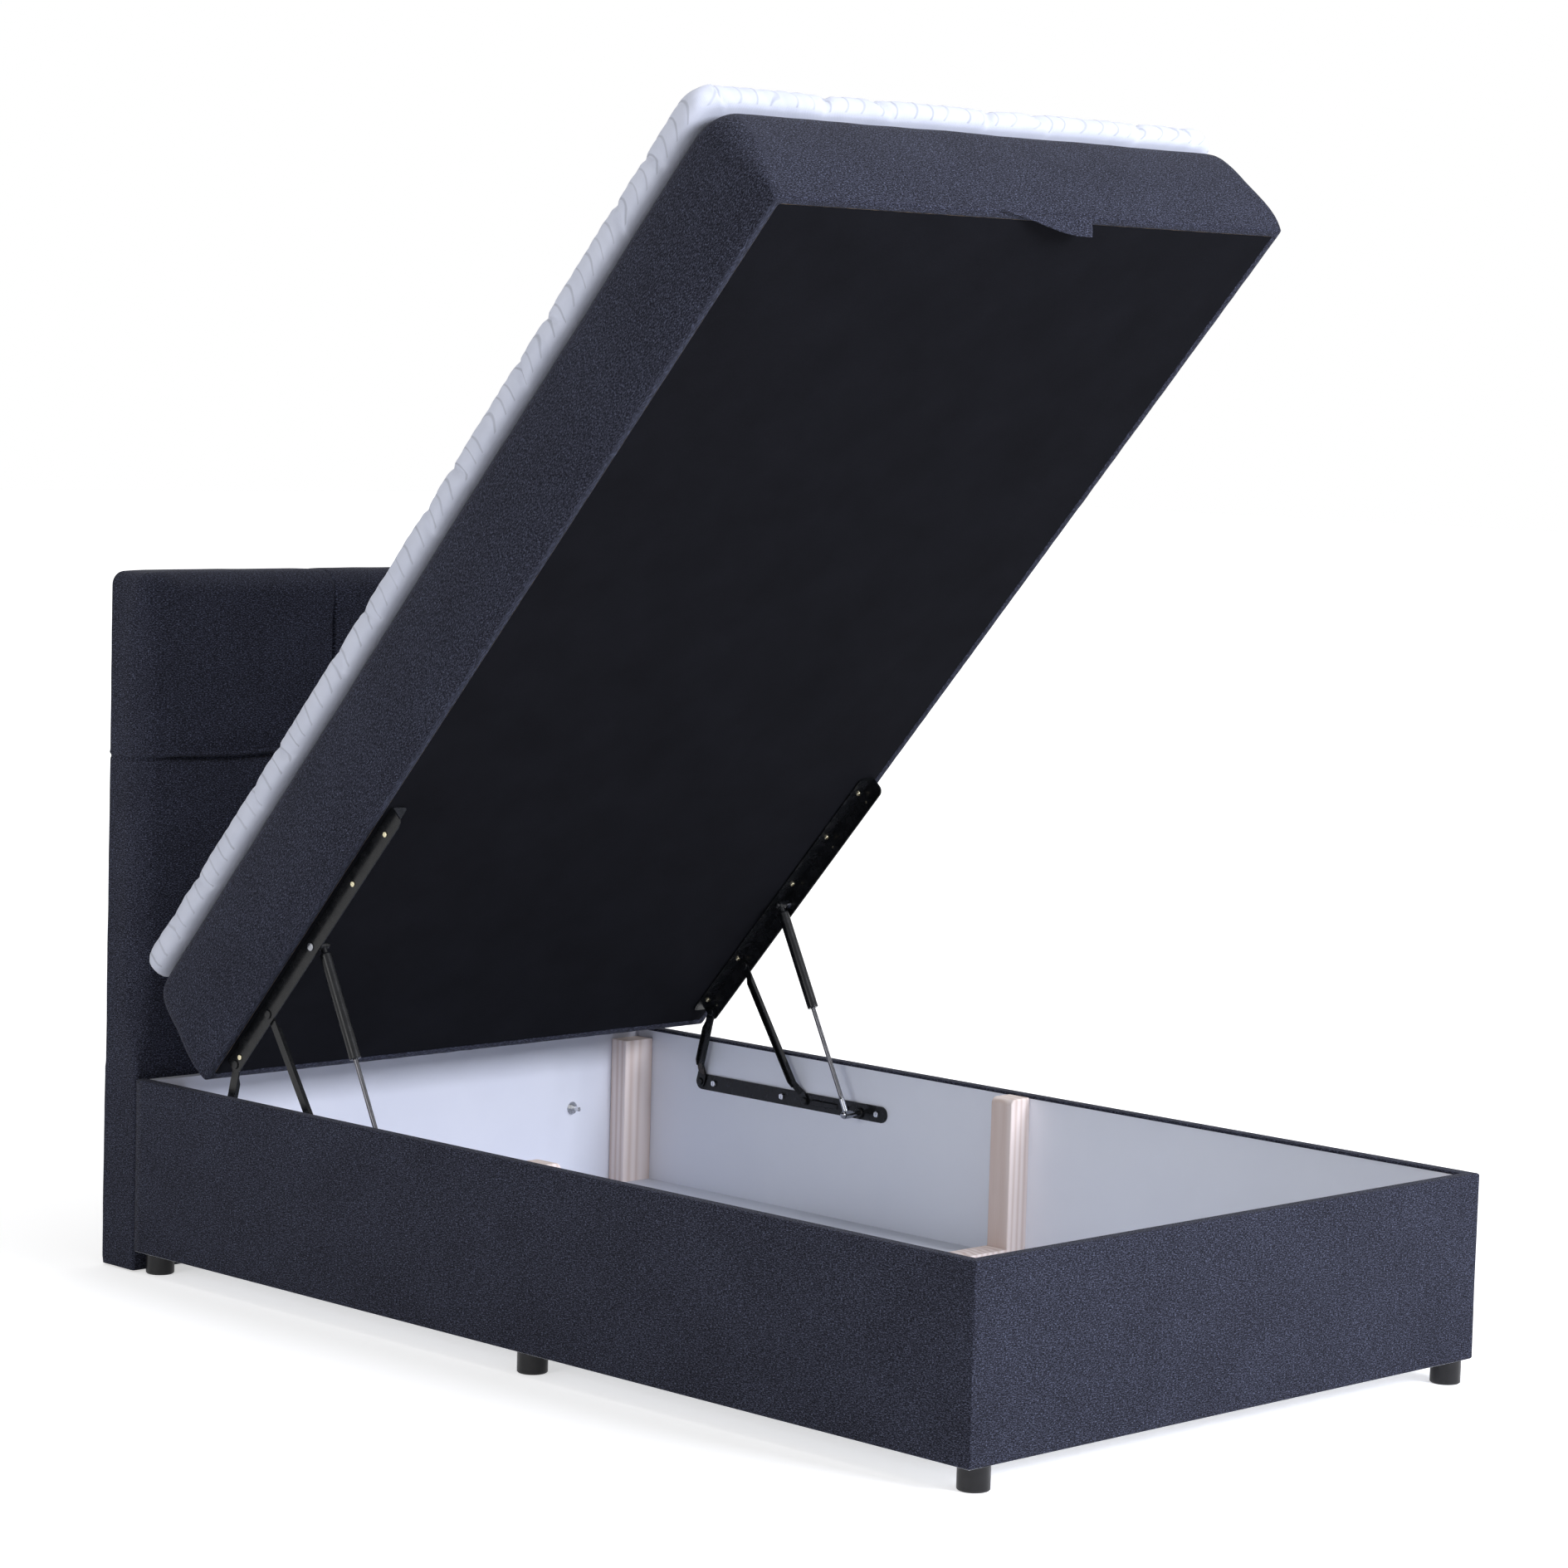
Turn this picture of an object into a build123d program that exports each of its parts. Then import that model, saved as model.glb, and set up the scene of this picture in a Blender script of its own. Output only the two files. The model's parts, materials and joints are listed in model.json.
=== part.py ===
from build123d import *
import math
import os

os.makedirs("parts", exist_ok=True)

# Storage bed for a 120 by 200 cm mattress, shown with its lid up.
# All sizes are in millimetres. +X is the right side seen from the foot, +Y runs from the
# foot to the head, +Z is up. The origin is on the floor, below the middle of the bed.

# Box
box_width = 1200
box_length = 2000
leg_height = 38
box_height = 305
headboard_depth = 100
foot_y = -(box_length + headboard_depth) / 2
junction_y = foot_y + box_length
back_y = junction_y + headboard_depth
box_top = leg_height + box_height
board_thickness = 19
cover_thickness = 3
cover_top_thickness = 2
inner_x = box_width / 2 - cover_thickness - board_thickness
panel_top = box_top - cover_top_thickness
foot_inner_y = foot_y + cover_thickness + board_thickness
head_inner_y = junction_y - board_thickness
floor_thickness = 12
floor_top = leg_height + floor_thickness
floor_gap = 0.5

# Posts and feet
post_width = 70
post_depth = 41
corner_post_top = box_top - 20
mid_post_width = 47
mid_post_depth = 50
mid_post_top = box_top - 4
mid_y = foot_y + 988
beam_thickness = 22
beam_top = floor_top + beam_thickness
leg_diameter = 50
leg_inset_x = 38
leg_inset_y = 26

# Headboard
headboard_height = 1228
headboard_half = box_width / 2
glide_height = 3
seam_z = 905
seam_gap = 2
upright_seam_x = 172
pad_depth = 22
board_front_y = junction_y + pad_depth
hardboard_thickness = 5
border_thickness = 10
border_radius = 16
frame_depth = 64
headboard_bolt_x = 409
headboard_bolt_z = 198
headboard_bolt_diameter = 8

# Lid, described flat: u runs along its underside from the foot edge, h is height above it
lid_length = 2010
lid_half = 590
lid_height = 205
lid_bulge = 16
lid_head_bulge = 8
lid_open_angle = 48.06
lid_closed_y = foot_y - 24
lid_closed_z = box_top + 2
cover_wall_inset = 8
hem_width = 14
hem_thickness = 1.2
pull_tab_lean = 33
lid_frame_thickness = 36
lid_frame_height = 110
lid_slats = 9
foam_thickness = 28
foam_top = 178
core_height = 125
core_pad = 15
core_band = 20
core_pockets = 5
topper_thickness = 48
topper_start = -12
topper_length = 2000
topper_left = -606
topper_right = 600

# Lift mechanism, given for the right side and mirrored for the left
pivot_z = 258.5
rear_pivot_y = 749
front_pivot_y = 469.3
stud_y = 328
stud_z = 255
rail_pivot_drop = 19.4
rear_rail_u = 1948.95
front_rail_u = 1818.1
strut_rail_u = 1648
strut_rail_drop = 17
bracket_start_y = 260
bracket_end_y = 763
bracket_height = 30
bracket_thickness = 3
bracket_face = inner_x - bracket_thickness
bracket_bolt_ys = (284, 364, 530.5, 714)
rail_start = 1323
rail_end = 1961
rail_width = 34
rail_drop = 34
rail_thickness = 2.5
rail_outer = 567
rail_inner = rail_outer - rail_thickness
rail_screw_us = (1362, 1479, 1607, 1815, 1932)
rail_screw_x = 553
rail_side_bolt_us = (1368, 1489, 1930)
plate_thickness = 3
lower_plate_outer = bracket_face - 0.5
upper_plate_outer = rail_inner - 0.7
channel_depth = 8
rear_link_width = 18
front_link_width = 14
pin_diameter = 8
pin_clearance = 0.15
strut_x = 541
cylinder_diameter = 20
cylinder_bore = 16
cylinder_length = 203
rod_diameter = 8
rod_length = 225


def box(x0, x1, y0, y1, z0, z1):
    return Pos((x0 + x1) / 2, (y0 + y1) / 2, (z0 + z1) / 2) * Box(x1 - x0, y1 - y0, z1 - z0)


def rod_x(x0, x1, y, z, diameter):
    """A round bar along X between x0 and x1."""
    middle = (x0 + x1) / 2
    return Pos(middle, y, z) * Rot(0, 90, 0) * Cylinder(diameter / 2, abs(x1 - x0))


def rod_y(x, y0, y1, z, diameter):
    return Pos(x, (y0 + y1) / 2, z) * Rot(90, 0, 0) * Cylinder(diameter / 2, abs(y1 - y0))


def rod_z(x, y, z0, z1, diameter):
    return Pos(x, y, (z0 + z1) / 2) * Cylinder(diameter / 2, abs(z1 - z0))


def mirrored(shape):
    return mirror(shape, about=Plane.YZ)


def save(name, shapes):
    if not isinstance(shapes, (list, tuple)):
        shapes = [shapes]
    solids = [solid for shape in shapes for solid in shape.solids()]
    body = solids[0] if len(solids) == 1 else Compound(children=solids)
    export_step(body, f"parts/{name}.step")


def save_pair(name, shape):
    """The right-hand piece and its mirror image, each in its own node."""
    save(f"{name}_right", shape)
    save(f"{name}_left", mirrored(shape))


# Linkage: the closed position fixes the link lengths, the open angle then fixes the rest
def turned(u, h, angle, foot_edge):
    """A point of the lid, in (Y, Z), with the lid tilted by angle about its foot edge."""
    a = math.radians(angle)
    y = foot_edge[0] + u * math.cos(a) + h * math.sin(a)
    z = foot_edge[1] - u * math.sin(a) + h * math.cos(a)
    return y, z


def distance(p, q):
    return math.hypot(p[0] - q[0], p[1] - q[1])


rear_pivot = (rear_pivot_y, pivot_z)
front_pivot = (front_pivot_y, pivot_z)
closed_edge = (lid_closed_y, lid_closed_z)
rear_link_length = distance(rear_pivot, turned(rear_rail_u, -rail_pivot_drop, 0, closed_edge))
front_link_length = distance(front_pivot, turned(front_rail_u, -rail_pivot_drop, 0, closed_edge))


def edge_from_rear_link(link_angle):
    """Where the lid's foot edge lies when the rear link stands at link_angle."""
    a = math.radians(link_angle)
    joint = (
        rear_pivot_y + rear_link_length * math.cos(a),
        pivot_z + rear_link_length * math.sin(a),
    )
    offset = turned(rear_rail_u, -rail_pivot_drop, lid_open_angle, (0, 0))
    return joint[0] - offset[0], joint[1] - offset[1]


def front_gap(link_angle):
    edge = edge_from_rear_link(link_angle)
    joint = turned(front_rail_u, -rail_pivot_drop, lid_open_angle, edge)
    return distance(front_pivot, joint) - front_link_length


def open_rear_angle():
    """Bisection for the rear link's angle at which the front link reaches its rail pivot."""
    low, high = 95.0, 115.0
    for _ in range(60):
        middle = (low + high) / 2
        if front_gap(low) * front_gap(middle) <= 0:
            high = middle
        else:
            low = middle
    return (low + high) / 2


def angle_to(p, q):
    return math.degrees(math.atan2(q[1] - p[1], q[0] - p[0]))


rear_angle = open_rear_angle()
open_edge = edge_from_rear_link(rear_angle)
rear_joint = turned(rear_rail_u, -rail_pivot_drop, lid_open_angle, open_edge)
front_joint = turned(front_rail_u, -rail_pivot_drop, lid_open_angle, open_edge)
strut_joint = turned(strut_rail_u, -strut_rail_drop, lid_open_angle, open_edge)
lower_stud = (stud_y, stud_z)
front_angle = angle_to(front_pivot, front_joint)
strut_angle = angle_to(lower_stud, strut_joint)
strut_length = distance(lower_stud, strut_joint)
lid_place = Location((0, open_edge[0], open_edge[1]), (-lid_open_angle, 0, 0))


def on_lid(shape):
    """Moves a piece drawn in the lid's own X, u, h to where the open lid is."""
    return shape.moved(lid_place)


def along(p, angle):
    """Placement that turns local +Y to the direction angle in the Y-Z plane at p."""
    return Location((0, p[0], p[1]), (angle, 0, 0))


# Box pieces
def side_panel():
    panel = box(inner_x, box_width / 2 - cover_thickness, foot_y + cover_thickness, junction_y,
                leg_height, panel_top)
    for y in bracket_bolt_ys:
        panel -= rod_x(inner_x - 1, box_width / 2, y, pivot_z, 6.4)
    return panel


def foot_panel():
    return box(-inner_x, inner_x, foot_y + cover_thickness, foot_inner_y, leg_height, panel_top)


def head_panel():
    panel = box(-inner_x, inner_x, head_inner_y, junction_y, leg_height, panel_top)
    for x in (-headboard_bolt_x, headboard_bolt_x):
        panel -= rod_y(x, head_inner_y - 1, junction_y + 1, headboard_bolt_z,
                       headboard_bolt_diameter + 1)
    return panel


def box_wrap():
    """Cloth over the three outer boards and their top edges, as one shell."""
    half = box_width / 2
    shell = box(-half, half, foot_y, junction_y, leg_height, box_top)
    shell -= box(-half + cover_thickness, half - cover_thickness, foot_y + cover_thickness,
                 junction_y + 1, leg_height - 1, panel_top)
    shell -= box(-inner_x, inner_x, foot_inner_y, junction_y + 1, leg_height - 1, box_top + 1)
    upright = shell.edges().filter_by(Axis.Z)
    corners = [e for e in upright if abs(e.center().Y - foot_y) < 0.1]
    shell = fillet(corners, 2.5)
    return shell


def foot_wedge():
    """Region of the foot piece of the cloth, cut by a mitre at each corner."""
    half = box_width / 2
    depth = half - inner_x
    outline = Polyline(
        (-half, foot_y), (half, foot_y), (half - depth, foot_y + depth),
        (-half + depth, foot_y + depth), close=True
    )
    return Pos(0, 0, leg_height - 1) * extrude(make_face(outline), box_height + 2)


def corner_post(sign_y):
    y_wall = foot_inner_y if sign_y < 0 else head_inner_y
    y0, y1 = sorted((y_wall, y_wall - sign_y * post_depth))
    post = box(inner_x - post_width, inner_x, y0, y1, floor_top, corner_post_top)
    return chamfer(post.edges().filter_by(Axis.Z), 1.5)


def cross_beam():
    """Batten across the middle of the floor, over the joint of its two panels."""
    half = inner_x - floor_gap
    return box(-half, half, mid_y - mid_post_depth / 2, mid_y + mid_post_depth / 2,
               floor_top, beam_top)


def mid_post():
    """Upright at each end of the cross beam."""
    post = box(inner_x - mid_post_width, inner_x, mid_y - mid_post_depth / 2,
               mid_y + mid_post_depth / 2, beam_top, mid_post_top)
    inner_edges = [e for e in post.edges().filter_by(Axis.Y) if e.center().Z > mid_post_top - 1]
    inner_edges = [e for e in inner_edges if e.center().X < inner_x - 1]
    post = fillet(inner_edges, 12)
    sides = [e for e in post.edges().filter_by(Axis.Z) if e.center().X < inner_x - 1]
    return fillet(sides, 3)


def floor_panel(y0, y1):
    return box(-inner_x + floor_gap, inner_x - floor_gap, y0, y1, leg_height, floor_top)


def leg(x, y):
    body = rod_z(x, y, 0, leg_height, leg_diameter)
    bottom = body.edges().group_by(Axis.Z)[0]
    body = chamfer(bottom, 2)
    return body


# Headboard pieces
def headboard_frame():
    """Two stiles, a top and a bottom rail and a middle rail at the level seam."""
    half = headboard_half - border_thickness
    y0 = board_front_y + hardboard_thickness
    y1 = y0 + frame_depth
    bottom = glide_height
    top = headboard_height - border_thickness
    stile, rail = 60, 60
    pieces = []
    for sign in (-1, 1):
        x0, x1 = sorted((sign * half, sign * (half - stile)))
        pieces.append(box(x0, x1, y0, y1, bottom, top))
    for z in (bottom, seam_z - rail / 2, top - rail):
        pieces.append(box(-half + stile, half - stile, y0, y1, z, z + rail))
    lower = pieces[2].bounding_box().max.Z
    bearer_z = (headboard_bolt_z - rail / 2, headboard_bolt_z + rail / 2)
    bearer = box(-half + stile, half - stile, y0, y1, max(lower, bearer_z[0]), bearer_z[1])
    for x in (-headboard_bolt_x, headboard_bolt_x):
        bearer -= rod_y(x, y0 - 1, y1 + 1, headboard_bolt_z, headboard_bolt_diameter + 1)
        bearer -= rod_y(x, y0 + 34, y1 + 1, headboard_bolt_z, 22)
    pieces.append(bearer)
    return pieces


def headboard_board():
    half = headboard_half - border_thickness
    board = box(-half, half, board_front_y, board_front_y + hardboard_thickness, glide_height,
                headboard_height - border_thickness)
    for x in (-headboard_bolt_x, headboard_bolt_x):
        board -= rod_y(x, board_front_y - 1, board_front_y + 10, headboard_bolt_z,
                       headboard_bolt_diameter + 1)
    return board


def upper_pad(x0, x1, left, right):
    """One of the three padded panels of the upper headboard, crowned by a smooth loft."""
    z0, z1 = seam_z + seam_gap / 2, headboard_height
    sections = []
    for depth, inset in ((0, 6), (9, 12), (17, 22), (21, 34)):
        x_low = x0 + inset * left
        x_high = x1 - inset * right
        z_low = z0 + inset * 0.45
        z_high = z1 - inset
        width, height = x_high - x_low, z_high - z_low
        plane = Plane(origin=((x_low + x_high) / 2, board_front_y - depth, (z_low + z_high) / 2),
                      x_dir=(1, 0, 0), z_dir=(0, -1, 0))
        sections.append(plane * RectangleRounded(width, height, 6 + inset * 0.6))
    return loft(sections)


def lower_pad():
    """The plain lower panel: flat where it meets the box, its top edge drawn in at the seam."""
    pad = box(-headboard_half, headboard_half, junction_y, board_front_y, glide_height,
              seam_z - seam_gap / 2)
    top_front = [e for e in pad.edges().filter_by(Axis.X)
                 if e.center().Z > seam_z - 10 and e.center().Y < junction_y + 1]
    pad = fillet(top_front, 15)
    sides = [e for e in pad.edges().filter_by(Axis.Z) if e.center().Y < junction_y + 1]
    pad = fillet(sides, 5)
    for x in (-headboard_bolt_x, headboard_bolt_x):
        pad -= rod_y(x, junction_y - 1, board_front_y + 1, headboard_bolt_z,
                     headboard_bolt_diameter + 1)
    return pad


def headboard_border():
    """Cloth band on the two sides and the top, with rounded upper corners."""
    half, inner = headboard_half, headboard_half - border_thickness
    y0, y1 = board_front_y, back_y
    outer = box(-half, half, y0, y1, glide_height, headboard_height)
    top_edges = [e for e in outer.edges().filter_by(Axis.Y) if e.center().Z > headboard_height - 1]
    outer = fillet(top_edges, border_radius)
    front = [e for e in outer.edges() if abs(e.center().Y - y0) < 0.1]
    outer = chamfer([e for e in front if e.center().Z > glide_height + 1], 5)
    return outer - box(-inner, inner, y0 - 1, y1 + 1, 0, headboard_height - border_thickness)


def headboard_back_cloth():
    half = headboard_half - border_thickness
    y0 = board_front_y + hardboard_thickness + frame_depth
    return box(-half, half, y0, y0 + 1.5, glide_height, headboard_height - border_thickness)


def headboard_glides():
    y = board_front_y + hardboard_thickness + frame_depth / 2
    return [rod_z(x, y, 0, glide_height, 26) for x in (-540, 0, 540)]


def headboard_bolts():
    """Carriage bolts from behind the bearer to the inside of the box."""
    seat_y = board_front_y + hardboard_thickness + 34
    tip_y = head_inner_y - 22
    bolts = []
    for x in (-headboard_bolt_x, headboard_bolt_x):
        shank = rod_y(x, tip_y, seat_y, headboard_bolt_z, headboard_bolt_diameter)
        shank = chamfer(shank.edges().group_by(Axis.Y)[0], 1)
        head = rod_y(x, seat_y, seat_y + 4.5, headboard_bolt_z, 20)
        head = fillet(head.edges().group_by(Axis.Y)[-1], 3)
        bolts.append(shank + head)
    return bolts


def headboard_washers():
    washers = []
    for x in (-headboard_bolt_x, headboard_bolt_x):
        disc = rod_y(x, head_inner_y - 1.6, head_inner_y, headboard_bolt_z, 24)
        washers.append(disc - rod_y(x, head_inner_y - 3, head_inner_y + 1, headboard_bolt_z, 8.2))
    return washers


def headboard_nuts():
    nuts = []
    for x in (-headboard_bolt_x, headboard_bolt_x):
        across = extrude(RegularPolygon(7.5, 6), 6.5)
        nut = Pos(x, head_inner_y - 1.6, headboard_bolt_z) * Rot(90, 0, 0) * across
        bore = rod_y(x, head_inner_y - 10, head_inner_y, headboard_bolt_z, 8.2)
        nuts.append(nut - bore)
    return nuts


# Fixed parts of the lift
def bracket():
    """Pressed plate on the inner face of the side board, with rounded ends and a raised rib."""
    length = bracket_end_y - bracket_start_y
    middle_y = (bracket_start_y + bracket_end_y) / 2
    profile = SlotOverall(length, bracket_height)
    plate = extrude(profile, bracket_thickness)
    placed = Pos(inner_x, middle_y, pivot_z) * Rot(0, -90, 0) * Rot(0, 0, 90) * plate
    for y in bracket_bolt_ys:
        placed -= rod_x(bracket_face - 5, inner_x + 5, y, pivot_z, 6.4)
    rib = box(bracket_face - 3, bracket_face, 384, 454, pivot_z - 5.5, pivot_z + 5.5)
    rib = fillet(rib.edges().filter_by(Axis.X), 5)
    rib = chamfer([e for e in rib.edges() if e.center().X < bracket_face - 2.9], 2)
    boss = rod_x(bracket_face - 5, bracket_face, stud_y, stud_z, 20)
    boss = chamfer(boss.edges().group_by(Axis.X)[0], 1.5)
    return placed + rib + boss


def bracket_bolts():
    """Hexagon bolts with a slot, through the bracket into the board."""
    bolts = []
    for y in bracket_bolt_ys:
        head = extrude(RegularPolygon(5.8, 6), 4)
        head = Pos(bracket_face, y, pivot_z) * Rot(0, -90, 0) * head
        shank = rod_x(bracket_face, inner_x + 14, y, pivot_z, 6)
        slot = box(bracket_face - 5, bracket_face - 2.4, y - 0.8, y + 0.8,
                   pivot_z - 7, pivot_z + 7)
        bolt = head + shank - slot
        bolts += [bolt, mirrored(bolt)]
    return bolts


def lower_rivets():
    """Rivets on the brackets that the two links turn on."""
    rivets = []
    head_face = lower_plate_outer - plate_thickness - 0.3
    for y in (rear_pivot_y, front_pivot_y):
        pin = rod_x(head_face, bracket_face, y, pivot_z, pin_diameter)
        head = rod_x(head_face - 2.8, head_face, y, pivot_z, 14)
        head = fillet(head.edges().group_by(Axis.X)[0], 1.6)
        rivet = pin + head
        rivets += [rivet, mirrored(rivet)]
    return rivets


strut_eye_outer = 549
strut_eye_inner = 534


def lower_studs():
    """Studs that the gas struts' lower ends turn on, each with a domed end."""
    boss_face = bracket_face - 5
    stud = rod_x(strut_eye_inner - 0.4, boss_face, stud_y, stud_z, pin_diameter)
    dome = rod_x(strut_eye_inner - 6, strut_eye_inner - 0.4, stud_y, stud_z, 12)
    dome = fillet(dome.edges().group_by(Axis.X)[0], 4)
    collar = rod_x(strut_eye_outer + 0.4, strut_eye_outer + 5, stud_y, stud_z, 12)
    stud = stud + dome + collar
    return [stud, mirrored(stud)]


# Links, drawn along local +Y from the lower pivot at the origin
def link(length, width, upper_head):
    """Pressed channel with flat ends: the lower end steps out to the bracket's plane."""
    outer = upper_plate_outer
    end_radius = width / 2 + 1.5
    low_outer, low_inner = lower_plate_outer, lower_plate_outer - plate_thickness
    up_outer, up_inner = outer, outer - plate_thickness
    channel_inner = outer - channel_depth
    lower_flat = 17
    step_end = 38
    lower_eye = rod_x(low_inner, low_outer, 0, 0, end_radius * 2)
    lower_eye += box(low_inner, low_outer, 0, lower_flat, -end_radius, end_radius)
    step_profile = Polyline(
        (low_outer, lower_flat - 1), (low_inner, lower_flat - 1), (up_inner, step_end),
        (up_inner, step_end + 1), (up_outer, step_end + 1), (up_outer, step_end), close=True
    )
    step = extrude(make_face(step_profile), width / 2, both=True)
    channel_start, channel_end = step_end - 6, length - 22
    web = box(up_inner, up_outer, step_end, length, -width / 2, width / 2)
    sides = []
    for sign in (-1, 1):
        z0, z1 = sorted((sign * width / 2, sign * (width / 2 - 2.5)))
        flange = Polyline(
            (up_outer - 1, channel_start), (up_inner, channel_start), (channel_inner, channel_start + 12),
            (channel_inner, channel_end - 12), (up_inner, channel_end), (up_outer - 1, channel_end),
            close=True
        )
        sides.append(Pos(0, 0, z0) * extrude(make_face(flange), z1 - z0))
    upper_eye = rod_x(up_inner, up_outer, length, 0, end_radius * 2)
    body = lower_eye + step + web + sides[0] + sides[1] + upper_eye
    hole = pin_diameter + pin_clearance
    body -= rod_x(low_inner - 1, low_outer + 1, 0, 0, hole)
    if upper_head:
        head = rod_x(up_inner - 2.6, up_inner, length, 0, 14)
        body += fillet(head.edges().group_by(Axis.X)[0], 1.5)
    else:
        body -= rod_x(up_inner - 1, up_outer + 1, length, 0, hole)
    return body


def rear_link():
    return link(rear_link_length, rear_link_width, False).moved(along(rear_pivot, rear_angle))


def front_link():
    return link(front_link_length, front_link_width, True).moved(along(front_pivot, front_angle))


# Gas strut, drawn along local +Y from the lower stud at the origin
def strut_end():
    """Chromed eye on the rod's lower end."""
    eye = rod_x(strut_eye_inner, strut_eye_outer, 0, 0, 15)
    neck = rod_y(strut_x, 6, 30, 0, 10)
    tip = Pos(strut_x, 30, 0) * Rot(-90, 0, 0) * Cone(5, 4.2, 5, align=(Align.CENTER, Align.CENTER, Align.MIN))
    end = eye + neck + tip
    end -= rod_x(strut_eye_inner - 1, strut_eye_outer + 1, 0, 0, pin_diameter + pin_clearance)
    return end - rod_y(strut_x, 16, 60, 0, rod_diameter)


def strut_rod():
    rod = rod_y(strut_x, 16, rod_length, 0, rod_diameter)
    piston = rod_y(strut_x, rod_length - 6, rod_length, 0, cylinder_bore - 0.2)
    return rod + piston


def strut_cylinder():
    """Black tube, closed by a gland below and by the upper eye above."""
    top = strut_length
    tube = rod_y(strut_x, top - cylinder_length, top - 14, 0, cylinder_diameter)
    tube = fillet(tube.edges().group_by(Axis.Y)[0], 1.5)
    tube = fillet(tube.edges().group_by(Axis.Y)[-1], 3)
    tube -= rod_y(strut_x, top - cylinder_length + 8, top - 22, 0, cylinder_bore)
    tube -= rod_y(strut_x, top - cylinder_length - 1, top - cylinder_length + 9, 0,
                  rod_diameter + pin_clearance)
    neck = rod_y(strut_x, top - 16, top - 4, 0, 11)
    eye = rod_x(strut_eye_inner, strut_eye_outer + 1, top, 0, 15)
    eye = fillet(eye.edges(), 1.5)
    cap = rod_x(strut_eye_inner - 6, strut_eye_inner + 1, top, 0, 11)
    cap = fillet(cap.edges().group_by(Axis.X)[0], 4)
    return tube + neck + eye + cap


def strut_piece(shape):
    return shape.moved(along(lower_stud, strut_angle))


# Lid pieces, drawn in the lid's own X, u, h
def lid_section(h, side, foot, head, radius):
    """Rounded outline of the lid at height h, pushed out by the given amounts."""
    width = 2 * (lid_half + side)
    length = lid_length + foot + head
    middle = (lid_length + head - foot) / 2
    return Plane(origin=(0, middle, h), z_dir=(0, 0, 1)) * RectangleRounded(width, length, radius)


def lid_form():
    """The upholstered block: sharp at the hem, full at mid height, rounded on top."""
    bulge, head = lid_bulge, lid_head_bulge
    return loft([
        lid_section(0, 0, 0, 0, 6),
        lid_section(14, 4, 4, 3, 10),
        lid_section(60, 13, 13, 7, 26),
        lid_section(115, bulge, bulge, head, 38),
        lid_section(160, 13, 13, 5, 46),
        lid_section(188, 2, 2, -4, 50),
        lid_section(200, -12, -12, -16, 52),
        lid_section(lid_height, -34, -34, -38, 54),
    ])


def cavity_half():
    return lid_half - cover_wall_inset


def lid_cover():
    cover = lid_form()
    half = cavity_half()
    inset = cover_wall_inset
    cover -= box(-half, half, inset, lid_length - inset, hem_thickness, foam_top)
    opening = lid_half - hem_width
    return cover - box(-opening, opening, hem_width, lid_length - hem_width, -1, foam_top - 1)


def lid_dust_cover():
    opening = lid_half - hem_width - 0.3
    sheet = box(-opening, opening, hem_width + 0.3, lid_length - hem_width - 0.3, 0, hem_thickness)
    for x in (-rail_screw_x, rail_screw_x):
        for u in rail_screw_us:
            sheet -= rod_z(x, u, -1, 3, 4.6)
    return sheet


def lid_frame():
    """Four boards on edge and nine cross slats between them."""
    half = cavity_half()
    low, high = hem_thickness, lid_frame_height
    u0, u1 = cover_wall_inset, lid_length - cover_wall_inset
    t = lid_frame_thickness
    pieces = [
        box(-half, half, u0, u0 + t, low, high),
        box(-half, half, u1 - t, u1, low, high),
    ]
    for sign in (-1, 1):
        x0, x1 = sorted((sign * half, sign * (half - t)))
        board = box(x0, x1, u0 + t, u1 - t, low, high)
        for u in rail_screw_us:
            board -= rod_z(sign * rail_screw_x, u, 0, 22, 4.6)
        pieces.append(board)
    span = u1 - u0 - 2 * t
    for i in range(lid_slats):
        u = u0 + t + span * (i + 0.5) / lid_slats
        pieces.append(box(-half + t, half - t, u - 35, u + 35, low, low + 20))
    return pieces


def lid_spring_core():
    """Felt case of the spring unit: a top pad, an edge band and cross bands, open below."""
    half = cavity_half() - lid_frame_thickness - 2
    start = cover_wall_inset + lid_frame_thickness + 2
    low = hem_thickness + 20.5
    core = box(-half, half, start, lid_length - start, low, low + core_height)
    pitch = (lid_length - 2 * start - core_band) / core_pockets
    for i in range(core_pockets):
        u = start + core_band + i * pitch
        core -= box(-half + core_band, half - core_band, u, u + pitch - core_band,
                    low - 1, low + core_height - core_pad)
    return core


def lid_foam():
    half = cavity_half() - 0.5
    inset = cover_wall_inset + 0.5
    return box(-half, half, inset, lid_length - inset, foam_top - foam_thickness, foam_top - 0.5)


def lid_rail():
    """Steel angle: one leg flat under the lid, the other hanging down on its outer side."""
    flat = box(rail_outer - rail_width, rail_outer, rail_start, rail_end, -rail_thickness, 0)
    flat = fillet([e for e in flat.edges().filter_by(Axis.Z) if e.center().X < 540], 10)
    hanging = box(rail_inner, rail_outer, rail_start, rail_end, -rail_drop, -rail_thickness / 2)
    low_edges = [e for e in hanging.edges().filter_by(Axis.X) if e.center().Z < -rail_drop + 1]
    hanging = fillet(low_edges, 12)
    rail = flat + hanging
    for u in rail_screw_us:
        rail -= rod_z(rail_screw_x, u, -5, 1, 4.6)
    for u in (rear_rail_u, front_rail_u):
        rail -= rod_x(rail_inner - 1, rail_outer + 1, u, -rail_pivot_drop, pin_diameter + 0.05)
    for u in rail_side_bolt_us:
        rail -= rod_x(rail_inner - 1, rail_outer + 1, u, -rail_pivot_drop, 5.2)
    return rail


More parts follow.
